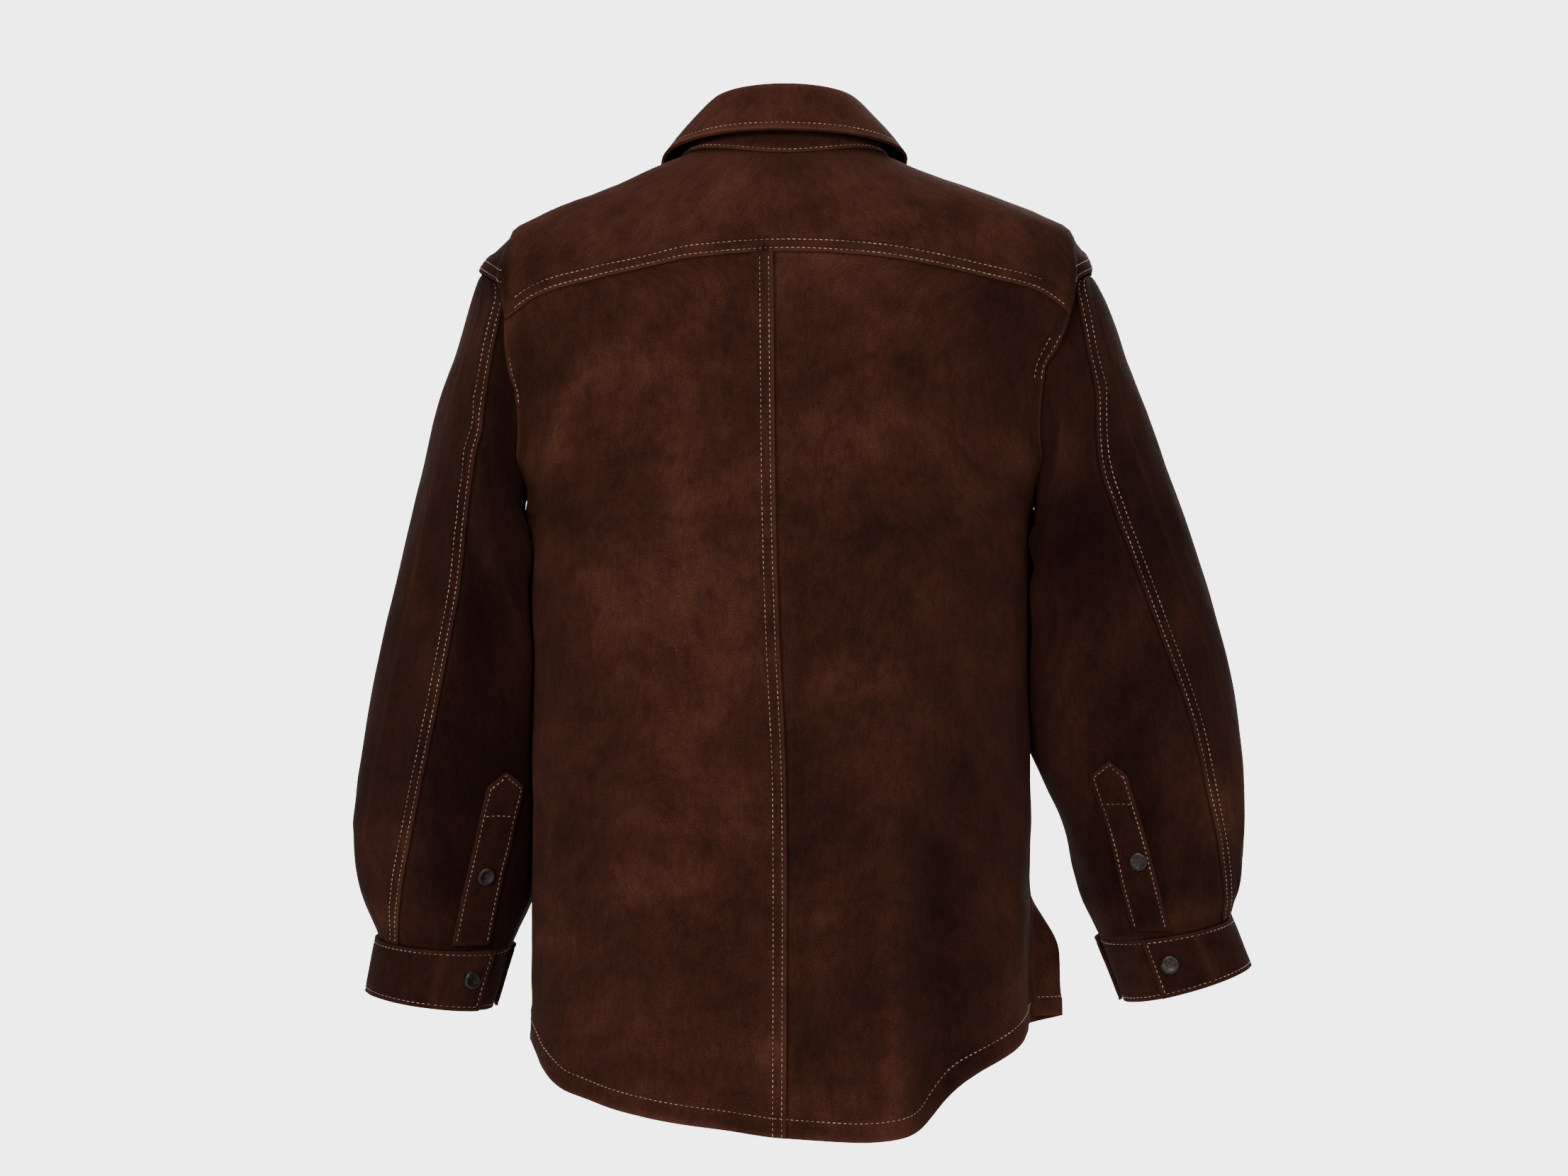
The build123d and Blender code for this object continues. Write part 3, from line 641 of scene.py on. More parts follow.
def stitch_object(name, rows, material, stitch_length=STITCH_LENGTH):
    """Every stitch of the given rows, each a short thread that dips into the leather."""
    vertices = []
    faces = []
    for line, normals in rows:
        if len(line) < 2:
            continue
        for point, along, up in zip(*resample(line, normals, STITCH_PITCH)):
            along = along / max(np.linalg.norm(along), 1e-6)
            up = up - along * np.dot(up, along)
            up = up / max(np.linalg.norm(up), 1e-6)
            across = np.cross(along, up)
            along = along + across * RNG.normal(0, 0.05)
            size = 1 + RNG.normal(0, 0.05)
            start = len(vertices)
            for reach, lift in STITCH_PROFILE:
                centre = point + along * reach * stitch_length * size + up * lift
                for k in range(STITCH_SIDES):
                    turn = 2 * math.pi * k / STITCH_SIDES
                    vertices.append(centre + (across * math.cos(turn) + up * math.sin(turn))
                                    * THREAD_RADIUS)
            for ring in range(len(STITCH_PROFILE) - 1):
                for k in range(STITCH_SIDES):
                    a = start + ring * STITCH_SIDES + k
                    b = start + ring * STITCH_SIDES + (k + 1) % STITCH_SIDES
                    faces.append((a, b, b + STITCH_SIDES, a + STITCH_SIDES))
            last = start + (len(STITCH_PROFILE) - 1) * STITCH_SIDES
            faces.append(tuple(start + k for k in reversed(range(STITCH_SIDES))))
            faces.append(tuple(last + k for k in range(STITCH_SIDES)))
    piece = mesh_object(name, np.array(vertices), faces)
    piece.data.materials.append(material)
    return piece


# ---------------------------------------------------------------- snaps
SNAP_PROFILE = [(0, 1.35), (2.0, 1.45), (3.6, 1.62), (4.6, 1.85), (5.2, 2.05), (5.7, 2.08), (6.2, 1.95),
                (6.9, 1.6), (7.35, 1.05), (7.5, 0.5), (7.35, 0.0), (6.6, -0.35), (0, -0.4)]
SNAP_SEGMENTS = 40


def snap_object(name, places, material):
    """Pressed snap caps, each with a rolled rim and a shallow dished middle."""
    vertices = []
    faces = []
    for point, normal in places:
        up = normal / np.linalg.norm(normal)
        side = np.cross(up, (0, 0, 1.0))
        side = side / np.linalg.norm(side)
        other = np.cross(up, side)
        start = len(vertices)
        for radius, height in SNAP_PROFILE[1:-1]:
            for k in range(SNAP_SEGMENTS):
                turn = 2 * math.pi * k / SNAP_SEGMENTS
                spot = point + (side * math.cos(turn) + other * math.sin(turn)) * radius + up * height
                vertices.append(spot)
        rings = len(SNAP_PROFILE) - 2
        vertices.append(point + up * SNAP_PROFILE[0][1])
        vertices.append(point + up * SNAP_PROFILE[-1][1])
        top, foot = len(vertices) - 2, len(vertices) - 1
        for ring in range(rings - 1):
            for k in range(SNAP_SEGMENTS):
                a = start + ring * SNAP_SEGMENTS + k
                b = start + ring * SNAP_SEGMENTS + (k + 1) % SNAP_SEGMENTS
                faces.append((a, a + SNAP_SEGMENTS, b + SNAP_SEGMENTS, b))
        last = start + (rings - 1) * SNAP_SEGMENTS
        for k in range(SNAP_SEGMENTS):
            following = (k + 1) % SNAP_SEGMENTS
            faces.append((top, start + k, start + following))
            faces.append((foot, last + following, last + k))
    piece = mesh_object(name, np.array(vertices), faces)
    piece.data.materials.append(material)
    return piece


# ---------------------------------------------------------------- materials
def new_material(name):
    material = bpy.data.materials.new(name)
    material.use_nodes = True
    nodes = material.node_tree.nodes
    shader = nodes["Principled BSDF"]
    return material, nodes, material.node_tree.links, shader


def noise_node(nodes, links, vector, scale, detail, roughness=0.5, distortion=0.0):
    node = nodes.new("ShaderNodeTexNoise")
    node.inputs["Scale"].default_value = scale
    node.inputs["Detail"].default_value = detail
    node.inputs["Roughness"].default_value = roughness
    node.inputs["Distortion"].default_value = distortion
    links.new(vector, node.inputs["Vector"])
    return node.outputs["Fac"]


def ramp_node(nodes, links, value, stops):
    node = nodes.new("ShaderNodeValToRGB")
    ramp = node.color_ramp
    while len(ramp.elements) < len(stops):
        ramp.elements.new(0.5)
    for element, (position, colour) in zip(ramp.elements, stops):
        element.position = position
        element.color = (*colour, 1)
    links.new(value, node.inputs["Fac"])
    return node.outputs["Color"]


def mix_node(nodes, links, factor, a, b, mode="MIX"):
    node = nodes.new("ShaderNodeMix")
    node.data_type = "RGBA"
    node.blend_type = mode
    for socket, value in ((node.inputs[0], factor), (node.inputs[6], a), (node.inputs[7], b)):
        if isinstance(value, (int, float)):
            socket.default_value = value
        elif isinstance(value, tuple):
            socket.default_value = (*value, 1)
        else:
            links.new(value, socket)
    return node.outputs[2]


def suede_material(name, dark, middle, light, sheen=0.03):
    """Brushed suede: cloudy brown, brushed nap, paler and smoother where it is worn."""
    material, nodes, links, shader = new_material(name)
    uv = nodes.new("ShaderNodeTexCoord").outputs["UV"]
    clouds = noise_node(nodes, links, uv, 9, 4, 0.55, 0.6)
    colour = ramp_node(nodes, links, clouds, [(0.30, dark), (0.52, middle), (0.74, light)])
    patches = noise_node(nodes, links, uv, 38, 5, 0.6, 0.4)
    tint = ramp_node(nodes, links, patches, [(0.28, (0.62, 0.60, 0.60)), (0.5, (1, 1, 1)),
                                             (0.75, (1.32, 1.30, 1.28))])
    colour = mix_node(nodes, links, 0.75, colour, tint, "MULTIPLY")
    nap = noise_node(nodes, links, uv, 900, 3, 0.65)
    fleck = ramp_node(nodes, links, nap, [(0.36, (0.55, 0.53, 0.52)), (0.5, (1, 1, 1)),
                                          (0.64, (1.55, 1.50, 1.45))])
    colour = mix_node(nodes, links, 0.8, colour, fleck, "MULTIPLY")
    stretch = nodes.new("ShaderNodeMapping")
    stretch.inputs["Scale"].default_value = (1.0, 0.4, 1.0)
    stretch.inputs["Rotation"].default_value = (0, 0, 0.5)
    links.new(uv, stretch.inputs["Vector"])
    brushed = noise_node(nodes, links, stretch.outputs["Vector"], 210, 4, 0.65, 0.8)
    strokes = ramp_node(nodes, links, brushed, [(0.34, (0.74, 0.73, 0.72)), (0.5, (1, 1, 1)),
                                                (0.68, (1.28, 1.25, 1.22))])
    colour = mix_node(nodes, links, 0.8, colour, strokes, "MULTIPLY")
    specks = noise_node(nodes, links, uv, 520, 2, 0.5)
    lint = ramp_node(nodes, links, specks, [(0.74, (0, 0, 0)), (0.80, (0.35, 0.35, 0.35))])
    colour = mix_node(nodes, links, lint, colour, (0.16, 0.09, 0.06))
    wear = nodes.new("ShaderNodeAttribute")
    wear.attribute_name = "wear"
    scuffs = noise_node(nodes, links, uv, 120, 4, 0.7)
    product = nodes.new("ShaderNodeMath")
    product.operation = "MULTIPLY"
    links.new(wear.outputs["Fac"], product.inputs[0])
    links.new(scuffs, product.inputs[1])
    worn = tuple(min(1, c * 1.55) for c in light)
    colour = mix_node(nodes, links, product.outputs[0], colour, worn)
    # painted light and shade: the per-vertex tone, which also holds the nap's random mottling, multiplies the
    # colour
    tone = nodes.new("ShaderNodeAttribute")
    tone.attribute_name = "tone"
    colour = mix_node(nodes, links, 1.0, colour, tone.outputs["Fac"], "MULTIPLY")
    links.new(colour, shader.inputs["Base Color"])
    rough = nodes.new("ShaderNodeMapRange")
    rough.inputs["To Min"].default_value = 0.88
    rough.inputs["To Max"].default_value = 1.0
    links.new(patches, rough.inputs["Value"])
    links.new(rough.outputs["Result"], shader.inputs["Roughness"])
    shader.inputs["Specular IOR Level"].default_value = 0.03
    shader.inputs["Sheen Weight"].default_value = sheen
    shader.inputs["Sheen Roughness"].default_value = 0.6
    shader.inputs["Sheen Tint"].default_value = (0.50, 0.24, 0.15, 1)
    fine = nodes.new("ShaderNodeBump")
    fine.inputs["Strength"].default_value = 0.8
    fine.inputs["Distance"].default_value = 0.0008
    links.new(nap, fine.inputs["Height"])
    coarse = nodes.new("ShaderNodeBump")
    coarse.inputs["Strength"].default_value = 0.45
    coarse.inputs["Distance"].default_value = 0.0022
    links.new(noise_node(nodes, links, uv, 110, 5, 0.6, 0.3), coarse.inputs["Height"])
    links.new(fine.outputs["Normal"], coarse.inputs["Normal"])
    links.new(coarse.outputs["Normal"], shader.inputs["Normal"])
    return material


def thread_material():
    material, nodes, links, shader = new_material("thread")
    place = nodes.new("ShaderNodeTexCoord").outputs["Object"]
    soil = noise_node(nodes, links, place, 60, 3)
    colour = ramp_node(nodes, links, soil, [(0.36, (0.060, 0.030, 0.018)), (0.50, (0.150, 0.092, 0.056)),
                                            (0.66, (0.285, 0.205, 0.140))])
    links.new(colour, shader.inputs["Base Color"])
    shader.inputs["Roughness"].default_value = 0.75
    shader.inputs["Sheen Weight"].default_value = 0.2
    twist = nodes.new("ShaderNodeBump")
    twist.inputs["Strength"].default_value = 0.6
    twist.inputs["Distance"].default_value = 0.0003
    links.new(noise_node(nodes, links, place, 2600, 2), twist.inputs["Height"])
    links.new(twist.outputs["Normal"], shader.inputs["Normal"])
    return material


def snap_material():
    material, nodes, links, shader = new_material("gunmetal")
    place = nodes.new("ShaderNodeTexCoord").outputs["Object"]
    worn = noise_node(nodes, links, place, 420, 5, 0.65)
    colour = ramp_node(nodes, links, worn, [(0.35, (0.010, 0.008, 0.007)), (0.60, (0.028, 0.022, 0.018)),
                                            (0.78, (0.10, 0.075, 0.058))])
    links.new(colour, shader.inputs["Base Color"])
    shader.inputs["Metallic"].default_value = 0.85
    rough = nodes.new("ShaderNodeMapRange")
    rough.inputs["To Min"].default_value = 0.28
    rough.inputs["To Max"].default_value = 0.55
    links.new(worn, rough.inputs["Value"])
    links.new(rough.outputs["Result"], shader.inputs["Roughness"])
    marks = nodes.new("ShaderNodeBump")
    marks.inputs["Strength"].default_value = 0.25
    marks.inputs["Distance"].default_value = 0.0002
    links.new(worn, marks.inputs["Height"])
    links.new(marks.outputs["Normal"], shader.inputs["Normal"])
    return material


# ---------------------------------------------------------------- camera
# The picture is 2212 x 1659; at the jacket's middle depth it is 1.2166 m wide.
CAMERA_DISTANCE = 6.0
CAMERA_CENTRE = (-0.0033, -0.3446)
PICTURE_WIDTH = 1.2166
camera_data = bpy.data.cameras.new("camera")
camera_data.sensor_width = 36
camera_data.lens = 36 * CAMERA_DISTANCE / PICTURE_WIDTH
camera_data.clip_end = 50
camera = bpy.data.objects.new("camera", camera_data)
camera.location = (CAMERA_CENTRE[0], CAMERA_DISTANCE, CAMERA_CENTRE[1])
camera.rotation_euler = (math.radians(90), 0, math.radians(180))
bpy.context.collection.objects.link(camera)
bpy.context.scene.camera = camera

SUEDE = suede_material("suede", (0.0125, 0.0040, 0.0026), (0.0195, 0.0063, 0.0039), (0.030, 0.0103, 0.0064))
SUEDE_INSIDE = suede_material("suede_inside", (0.014, 0.005, 0.0033), (0.022, 0.008, 0.005),
                              (0.031, 0.012, 0.0075))
THREAD = thread_material()
METAL = snap_material()


def attach(piece, rule, nodes=()):
    """Fastens a piece to a body, or, for a piece between two, bakes its transform into its mesh; then hides the
    CAD parts it stands for.
    """
    if rule[0] == "ride":
        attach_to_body(piece, rule[1])
    else:
        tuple(rule[3])
        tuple(rule[4])
        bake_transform(piece)
    if nodes:
        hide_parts(*nodes)


def torso():
    return ("ride", "torso")


def front_rule(side):
    """The rule for a front piece: the torso and the front, with a point at the shoulder and one below it."""
    name = "front_left" if side > 0 else "front_right"
    return ("blend", "torso", name, (side * 0.216, 0, -0.150), (side * 0.196, 0, -0.229))


def sleeve_rule(side):
    """The rule for a sleeve piece: the torso and the sleeve, with a point at the foot of the armhole and one 60
    mm out along the sleeve.
    """
    name = "sleeve_left" if side > 0 else "sleeve_right"
    start = (side * 0.198, 0, -0.292)
    reach = 0.060
    slope = math.radians(18)
    end = (start[0] + side * reach * math.cos(slope), 0, start[2] - reach * math.sin(slope))
    return ("blend", "torso", name, start, end)


# ---------------------------------------------------------------- back
FOLD_EDGES = (204, -220)               # where the back's rolled edges hide the rows of the shoulders


def stretches(line, normals, keep):
    """The unbroken runs of a row's points that are kept."""
    runs = []
    start = None
    for k, kept in enumerate([*keep, False]):
        if kept and start is None:
            start = k
        if not kept and start is not None:
            if k - start > 1:
                runs.append((line[start:k], normals[start:k]))
            start = None
    return runs


def seen_yoke_runs(line, normals):
    """A yoke row where it shows: along the seam, and again at the tips of the shoulders."""
    x, z = line[:, 0], line[:, 2]
    left, right = FOLD_EDGES
    seam = between(YOKE_SEAM, x)[:, 0] + ROW_FAR + 5
    along_seam = (x < left) & (x > right) & (z < seam)
    tip = ((x > left + 6) | (x < right - 6)) & (z > -113)
    return stretches(line, normals, along_seam) + stretches(line, normals, tip)


YOKE_LAP = 6.0                         # how far the back panels run up under the yoke


def back_grid(side):
    u = grid_lines(215, 4.0, True, True)
    v = grid_lines(690, 4.0, True, True)
    lap = 3.2 if side > 0 else -2.0

    def centre(z):
        return angle_at(side * (between(CENTRE_BACK, z)[..., 0] - lap), z, 1)

    def row_height(curve, guess):
        z = np.full_like(u, guess)
        for _ in range(12):
            angle = mix(centre(z), side_angle(z, 1, side), u)
            z = between(curve, body_point(side, angle, z)[..., 0])[..., 0]
        return z
    top = row_height(YOKE_SEAM, -120.0) + YOKE_LAP
    hem = row_height(HEM_BACK, -700.0)
    z = mix(top[:, None], hem[:, None], v[None, :])
    angle = mix(centre(z), side_angle(z, 1, side), u[:, None])
    return body_point(side, angle, z)


def make_back_panels():
    rows = []
    for side, hand in ((1, "left"), (-1, "right")):
        base = back_grid(side)
        outward = base * (1, 1, 0)
        laps = [("u0", CENTRE_ROWS)] if side > 0 else []
        shadowed_edges = [("v0", YOKE_LAP)] if side > 0 else [("v0", YOKE_LAP), ("u0", 5.2)]
        # painted shadow under the yoke's lapped edge, and on the right panel beside the centre back lap
        distance = edge_distances(base)
        clear = smooth(YOKE_LAP + 2, YOKE_LAP + 14, distance["v0"])
        folds = body_folds(base) + lap_profile(distance["u1"]) * clear * smooth(-292, -270, base[..., 2])
        folds = folds + 1.2 * smooth(HEM_ROW + 5, HEM_ROW - 2, distance["v1"])
        panel = Panel(base, outward, folds, laps, [("v1", HEM_ROW)], shadowed_edges=shadowed_edges)
        piece = panel_object("leather_back_panel_" + hand, panel, SUEDE)
        attach(piece, torso(), ["back_panel_" + hand])
        rows.append(panel.inset("v1", HEM_ROW, 2, 2))
        if side > 0:
            rows.append(panel.inset("u0", CENTRE_ROWS[0], YOKE_LAP + 4, 0))
            rows.append(panel.inset("u0", CENTRE_ROWS[1], YOKE_LAP + 4, 0))
        for row in (ROW_NEAR,) if side > 0 else WIDE_ROWS:
            line, normals = panel.inset("u1", row)
            keep = (line[:, 2] > (-206 if side > 0 else -186)) & (line[:, 2] < (-166 if side > 0 else -150))
            rows.append((line[keep], normals[keep]))
    attach(stitch_object("stitches_back", rows, THREAD), torso())


def make_back_yoke():
    start = math.radians(SHOULDER_ANGLE)
    u = grid_lines(640, 4.0, True, True)
    v = grid_lines(90, 4.0, False, True)
    angle = mix(start, math.pi - start, u)
    top = neckline_z(np.minimum(angle, math.pi - angle))
    left = yoke_bottom_z(angle, 1.5)
    z = mix(top[:, None], left[:, None], v[None, :])
    base = body_point(1, angle[:, None] + 0 * z, z)
    folds = body_folds(base) * smooth(2, 20, edge_distances(base)["v0"])
    panel = Panel(base, vec(base[..., 0], base[..., 1], 60 + 0 * base[..., 0]), folds,
                  [("v1", WIDE_ROWS)], [("u0", ROW_NEAR), ("u1", ROW_NEAR)])
    piece = panel_object("leather_back_yoke", panel, SUEDE)
    attach(piece, torso(), ["back_yoke"])
    rows = seen_yoke_runs(*panel.inset("v1", ROW_NEAR, 4, 4))
    rows += seen_yoke_runs(*panel.inset("v1", ROW_FAR, 10, 10))
    for edge in ("u0", "u1"):
        for row in WIDE_ROWS:
            line, normals = panel.inset(edge, row, 6, 4)
            rows += stretches(line, normals, line[:, 1] < 0)
    attach(stitch_object("stitches_yoke", rows, THREAD, 2.6), torso())


# ---------------------------------------------------------------- front
def make_front_yokes():
    for side, hand in ((1, "left"), (-1, "right")):
        start = math.radians(SHOULDER_ANGLE) + 0.01
        end = float(angle_at(side * FRONT_EDGE_X - (0 if side > 0 else 20), FRONT_YOKE_Z, -1))
        u = grid_lines(250, 4.0, False, False)
        v = grid_lines(90, 4.0, False, True)
        angle = mix(start, end, u)
        top = neckline_z(angle)
        bottom = front_yoke_bottom_z(angle, FRONT_YOKE_Z - 1.5, side)
        z = mix(top[:, None], bottom[:, None], v[None, :])
        inset = -2.2 if side < 0 else 0.0
        base = body_point(side, angle[:, None] + 0 * z, z)
        near_edge = smooth(60, 20, np.abs(base[..., 0]))
        folds = body_folds(base) * smooth(2, 20, edge_distances(base)["v0"]) * (1 - near_edge)
        folds = folds + inset * near_edge
        panel = Panel(base, base * (1, 1, 0) + (0, -40, 40), folds, [("v1", WIDE_ROWS)])
        piece = panel_object("leather_front_yoke_" + hand, panel, SUEDE)
        attach(piece, front_rule(side), ["front_yoke_" + hand])
        rows = [panel.inset("v1", ROW_NEAR, 2, 14), panel.inset("v1", ROW_FAR, 2, 14)]
        attach(stitch_object("stitches_front_yoke_" + hand, rows, THREAD), front_rule(side))


def front_panel_grid(side, x_outer, x_inner, top_z, spacing):
    """Rows of the front between two values of x, or from the side seam when x_outer is None."""
    def outer(z):
        if x_outer is None:
            return side_angle(z, -1, side)
        return angle_at(x_outer, z, -1)

    def inner(z):
        return angle_at(x_inner, z, -1)

    width = 75 if x_outer is None else abs(x_outer - x_inner) * 1.1
    u = grid_lines(width, spacing, True, True) if width > 34 else np.linspace(0, 1, 21)
    v = grid_lines(580, spacing, True, True)

    def row_height(curve, guess):
        z = np.full_like(u, guess)
        for _ in range(12):
            angle = mix(outer(z), inner(z), u)
            z = between(curve, body_point(side, angle, z)[..., 0])[..., 0]
        return z
    hem = row_height(HEM_FRONT, -700.0)
    z = mix(np.full_like(u, top_z)[:, None], hem[:, None], v[None, :])
    angle = mix(outer(z), inner(z), u[:, None])
    return body_point(side, angle, z)


def quiet_front(base):
    """Keeps folds small beside the front opening, where layers lie on each other."""
    return smooth(25, 75, np.abs(base[..., 0]))


def make_fronts():
    for side, hand in ((1, "left"), (-1, "right")):
        base = front_panel_grid(side, None, FRONT_SEAM_X - FRONT_SEAM_LAP, FRONT_YOKE_Z, 4.0)
        distance = edge_distances(base)
        folds = body_folds(base) + 1.2 * smooth(HEM_ROW + 5, HEM_ROW - 2, distance["v1"])
        folds = folds - (LEATHER + 0.5) * smooth(FRONT_SEAM_X + 0.4, FRONT_SEAM_X - 0.8, np.abs(base[..., 0]))
        if side < 0:
            away = distance["u0"]
            folds = folds + 25 * smooth(-572, -630, base[..., 2]) * smooth(0, 18, away) * smooth(78, 30, away)
        panel = Panel(base, base * (1, 1, 0), folds, [], [("v1", HEM_ROW)])
        piece = panel_object("leather_front_side_" + hand, panel, SUEDE)
        attach(piece, torso(), ["front_side_" + hand])
        rows = [panel.inset("v1", HEM_ROW, 2, 2)]
        attach(stitch_object("stitches_front_side_" + hand, rows, THREAD), torso())

        edge = side * FRONT_EDGE_X + 0.3
        base = front_panel_grid(side, FRONT_SEAM_X - 0.3, edge, FRONT_YOKE_Z, 4.0)
        distance = edge_distances(base)
        folds = body_folds(base) * mix(0.25, 1, quiet_front(base)) * smooth(0, 30, distance["u0"])
        folds = folds + body_folds(base) * (1 - smooth(0, 30, distance["u0"]))
        folds = folds + 1.0 * smooth(HEM_ROW + 5, HEM_ROW - 2, distance["v1"])
        panel = Panel(base, base * (1, 1, 0), folds, [], [("v1", HEM_ROW)])
        piece = panel_object("leather_front_" + hand, panel, SUEDE)
        attach(piece, front_rule(side), ["front_" + hand])
        rows = [panel.inset("v1", HEM_ROW, 2, 2)]
        attach(stitch_object("stitches_front_" + hand, rows, THREAD), front_rule(side))
        make_pocket(side, hand)


def chest_patch(side, shape, grow):
    x0, x1, top, low, point = shape
    u = grid_lines(x1 - x0, 3.0, True, True)
    v = grid_lines(top - low, 3.0, True, True)
    x = mix(x0, x1, u)[:, None]
    drop = point * (1 - np.abs(x - (x0 + x1) / 2) / ((x1 - x0) / 2))
    z = mix(top + 0 * x, low - drop, v[None, :])
    base = body_point(side, angle_at(x + 0 * z, z, -1), z, grow)
    folds = body_folds(base) * mix(0.25, 1, quiet_front(base)) * smooth(0, 30, 150 - np.abs(base[..., 0]))
    folds = folds + body_folds(base) * (1 - smooth(0, 30, 150 - np.abs(base[..., 0])))
    return base, folds


def make_pocket(side, hand):
    name = "front_" + hand
    base, folds = chest_patch(side, POCKET, LEATHER + 0.5)
    edges = ("u0", "u1", "v1")
    panel = Panel(base, base * (1, 1, 0), folds + 0.3, [], [(e, ROW_NEAR) for e in edges])
    piece = panel_object("leather_chest_pocket_" + hand, panel, SUEDE)
    attach(piece, ("ride", name), ["chest_pocket_" + hand])
    rows = []
    for edge in edges:
        rows.append(panel.inset(edge, ROW_NEAR - 0.4, 3, 3))
        rows.append(panel.inset(edge, ROW_FAR - 1, 9, 9))
    attach(stitch_object("stitches_pocket_" + hand, rows, THREAD), ("ride", name))
    spot = nearest(panel, (side * (FLAP[0] + FLAP[1]) / 2, None, FLAP[3] - 2))
    attach(stud_object("stud_pocket_" + hand, [spot]), ("ride", name), ["pocket_snap_stud_" + hand])

    flap_name = "flap_" + hand
    base, folds = chest_patch(side, FLAP, 2 * LEATHER + 1.6)
    panel = Panel(base, base * (1, 1, 0), folds + 0.6, [], [(e, ROW_NEAR) for e in ("u0", "u1", "v0", "v1")])
    piece = panel_object("leather_pocket_flap_" + hand, panel, SUEDE)
    attach(piece, ("ride", flap_name), ["pocket_flap_" + hand])
    rows = []
    for edge in ("u0", "u1", "v1"):
        rows.append(panel.inset(edge, ROW_NEAR - 0.4, 3, 3))
        rows.append(panel.inset(edge, ROW_FAR - 1, 9, 9))
    rows.append(panel.inset("v0", 2.4, 2, 2))
    attach(stitch_object("stitches_flap_" + hand, rows, THREAD), ("ride", flap_name))
    spot = nearest(panel, (side * (FLAP[0] + FLAP[1]) / 2, None, FLAP[3] - 2))
    attach(snap_object("snap_flap_" + hand, [spot], METAL), ("ride", flap_name),
           ["flap_snap_cap_" + hand])


def nearest(panel, target):
    """The point and normal of a panel nearest to a place, with None for any value."""
    distance = 0
    for axis, value in enumerate(target):
        if value is not None:
            distance = distance + (panel.points[..., axis] - value) ** 2
    place = np.unravel_index(np.argmin(distance), distance.shape)
    return panel.points[place], panel.normals[place]


def make_front_band():
    """The band down the left front, in one look above and below the front yoke seam."""
    for name, top, bottom_is_hem, node in (("leather_front_band_top", None, False, "front_band_top"),
                                           ("leather_front_band", FRONT_YOKE_Z, True, "front_band")):
        u = np.linspace(0, 1, 25)
        x = mix(-BAND_HALF_WIDTH, BAND_HALF_WIDTH, u)
        if bottom_is_hem:
            low = between(HEM_FRONT, x)[..., 0]
            high = np.full_like(u, top)
        else:
            low = np.full_like(u, FRONT_YOKE_Z)
            high = neckline_z(angle_at(x, np.full_like(x, -62.0), -1)) - 2
        v = grid_lines(float(np.max(high - low)), 4.0, False, bottom_is_hem)
        z = mix(high[:, None], low[:, None], v[None, :])
        base = body_point(1, angle_at(x[:, None] + 0 * z, z, -1), z, GAP + LEATHER + 1.2)
        folds = body_folds(base) * 0.25
        panel = Panel(base, base * (0, 1, 0) + (0, -10, 0), folds, [], [("u0", ROW_NEAR), ("u1", ROW_NEAR)],
                      thickness=3.0)
        piece = panel_object(name, panel, SUEDE)
        attach(piece, front_rule(1), [node])
        rows = [panel.inset("u0", ROW_NEAR, 1, 1), panel.inset("u1", ROW_NEAR, 1, 1)]
        attach(stitch_object(name.replace("leather", "stitches"), rows, THREAD), front_rule(1))
        if bottom_is_hem:
            places = [nearest(panel, (0, None, z)) for z in FRONT_SNAPS_Z]
            attach(snap_object("snaps_front", places, METAL), ("ride", "front_left"),
                   ["front_snap_caps"])
        else:
            attach(snap_object("snap_top", [nearest(panel, (0, None, TOP_SNAP_Z))], METAL),
                   front_rule(1), ["top_snap_cap"])


def make_front_facing():
    u = np.linspace(0, 1, 17)
    x = mix(FRONT_EDGE_X - 16, BAND_HALF_WIDTH, u)
    low = between(HEM_FRONT, x)[..., 0] + 4
    v = grid_lines(590, 5.0, False, False)
    z = mix(np.full_like(u, FRONT_YOKE_Z - 1)[:, None], low[:, None], v[None, :])
    base = body_point(1, angle_at(x[:, None] + 0 * z, z, -1), z, -LEATHER - 1.2)
    panel = Panel(base, base * (0, 1, 0) + (0, -10, 0), body_folds(base) * 0.25)
    attach(panel_object("leather_front_facing", panel, SUEDE_INSIDE), front_rule(-1), ["front_facing"])
    places = [nearest(panel, (0, None, z)) for z in FRONT_SNAPS_Z]
    attach(stud_object("studs_front", places), ("ride", "front_right"), ["front_snap_studs"])


STUD_PROFILE = [(0, 0.9), (1.1, 0.9), (1.5, 0.7), (1.3, 0.35), (3.0, 0.3), (3.4, 0.1), (3.4, -0.3), (0, -0.3)]


def stud_object(name, places):
    """The low studs that the caps press onto."""
    vertices = []
    faces = []
    segments = 20
    for point, normal in places:
        up = normal / np.linalg.norm(normal)
        side = np.cross(up, (0, 0, 1.0))
        side = side / np.linalg.norm(side)
        other = np.cross(up, side)
        start = len(vertices)
        for radius, height in STUD_PROFILE[1:-1]:
            for k in range(segments):
                turn = 2 * math.pi * k / segments
                vertices.append(point + (side * math.cos(turn) + other * math.sin(turn)) * radius
                                + up * height)
        for ring in range(len(STUD_PROFILE) - 3):
            for k in range(segments):
                a = start + ring * segments + k
                b = start + ring * segments + (k + 1) % segments
                faces.append((a, a + segments, b + segments, b))
        last = start + (len(STUD_PROFILE) - 3) * segments
        faces.append(tuple(start + k for k in range(segments)))
        faces.append(tuple(last + k for k in reversed(range(segments))))
    piece = mesh_object(name, np.array(vertices), faces)
    piece.data.materials.append(METAL)
    return piece


# ---------------------------------------------------------------- collar
def ring_height(heights, angle):
    back, side, front = heights
    s = np.sin(angle)
    return np.where(s > 0, side + (back - side) * np.abs(s) ** 0.75, side + (side - front) * s)


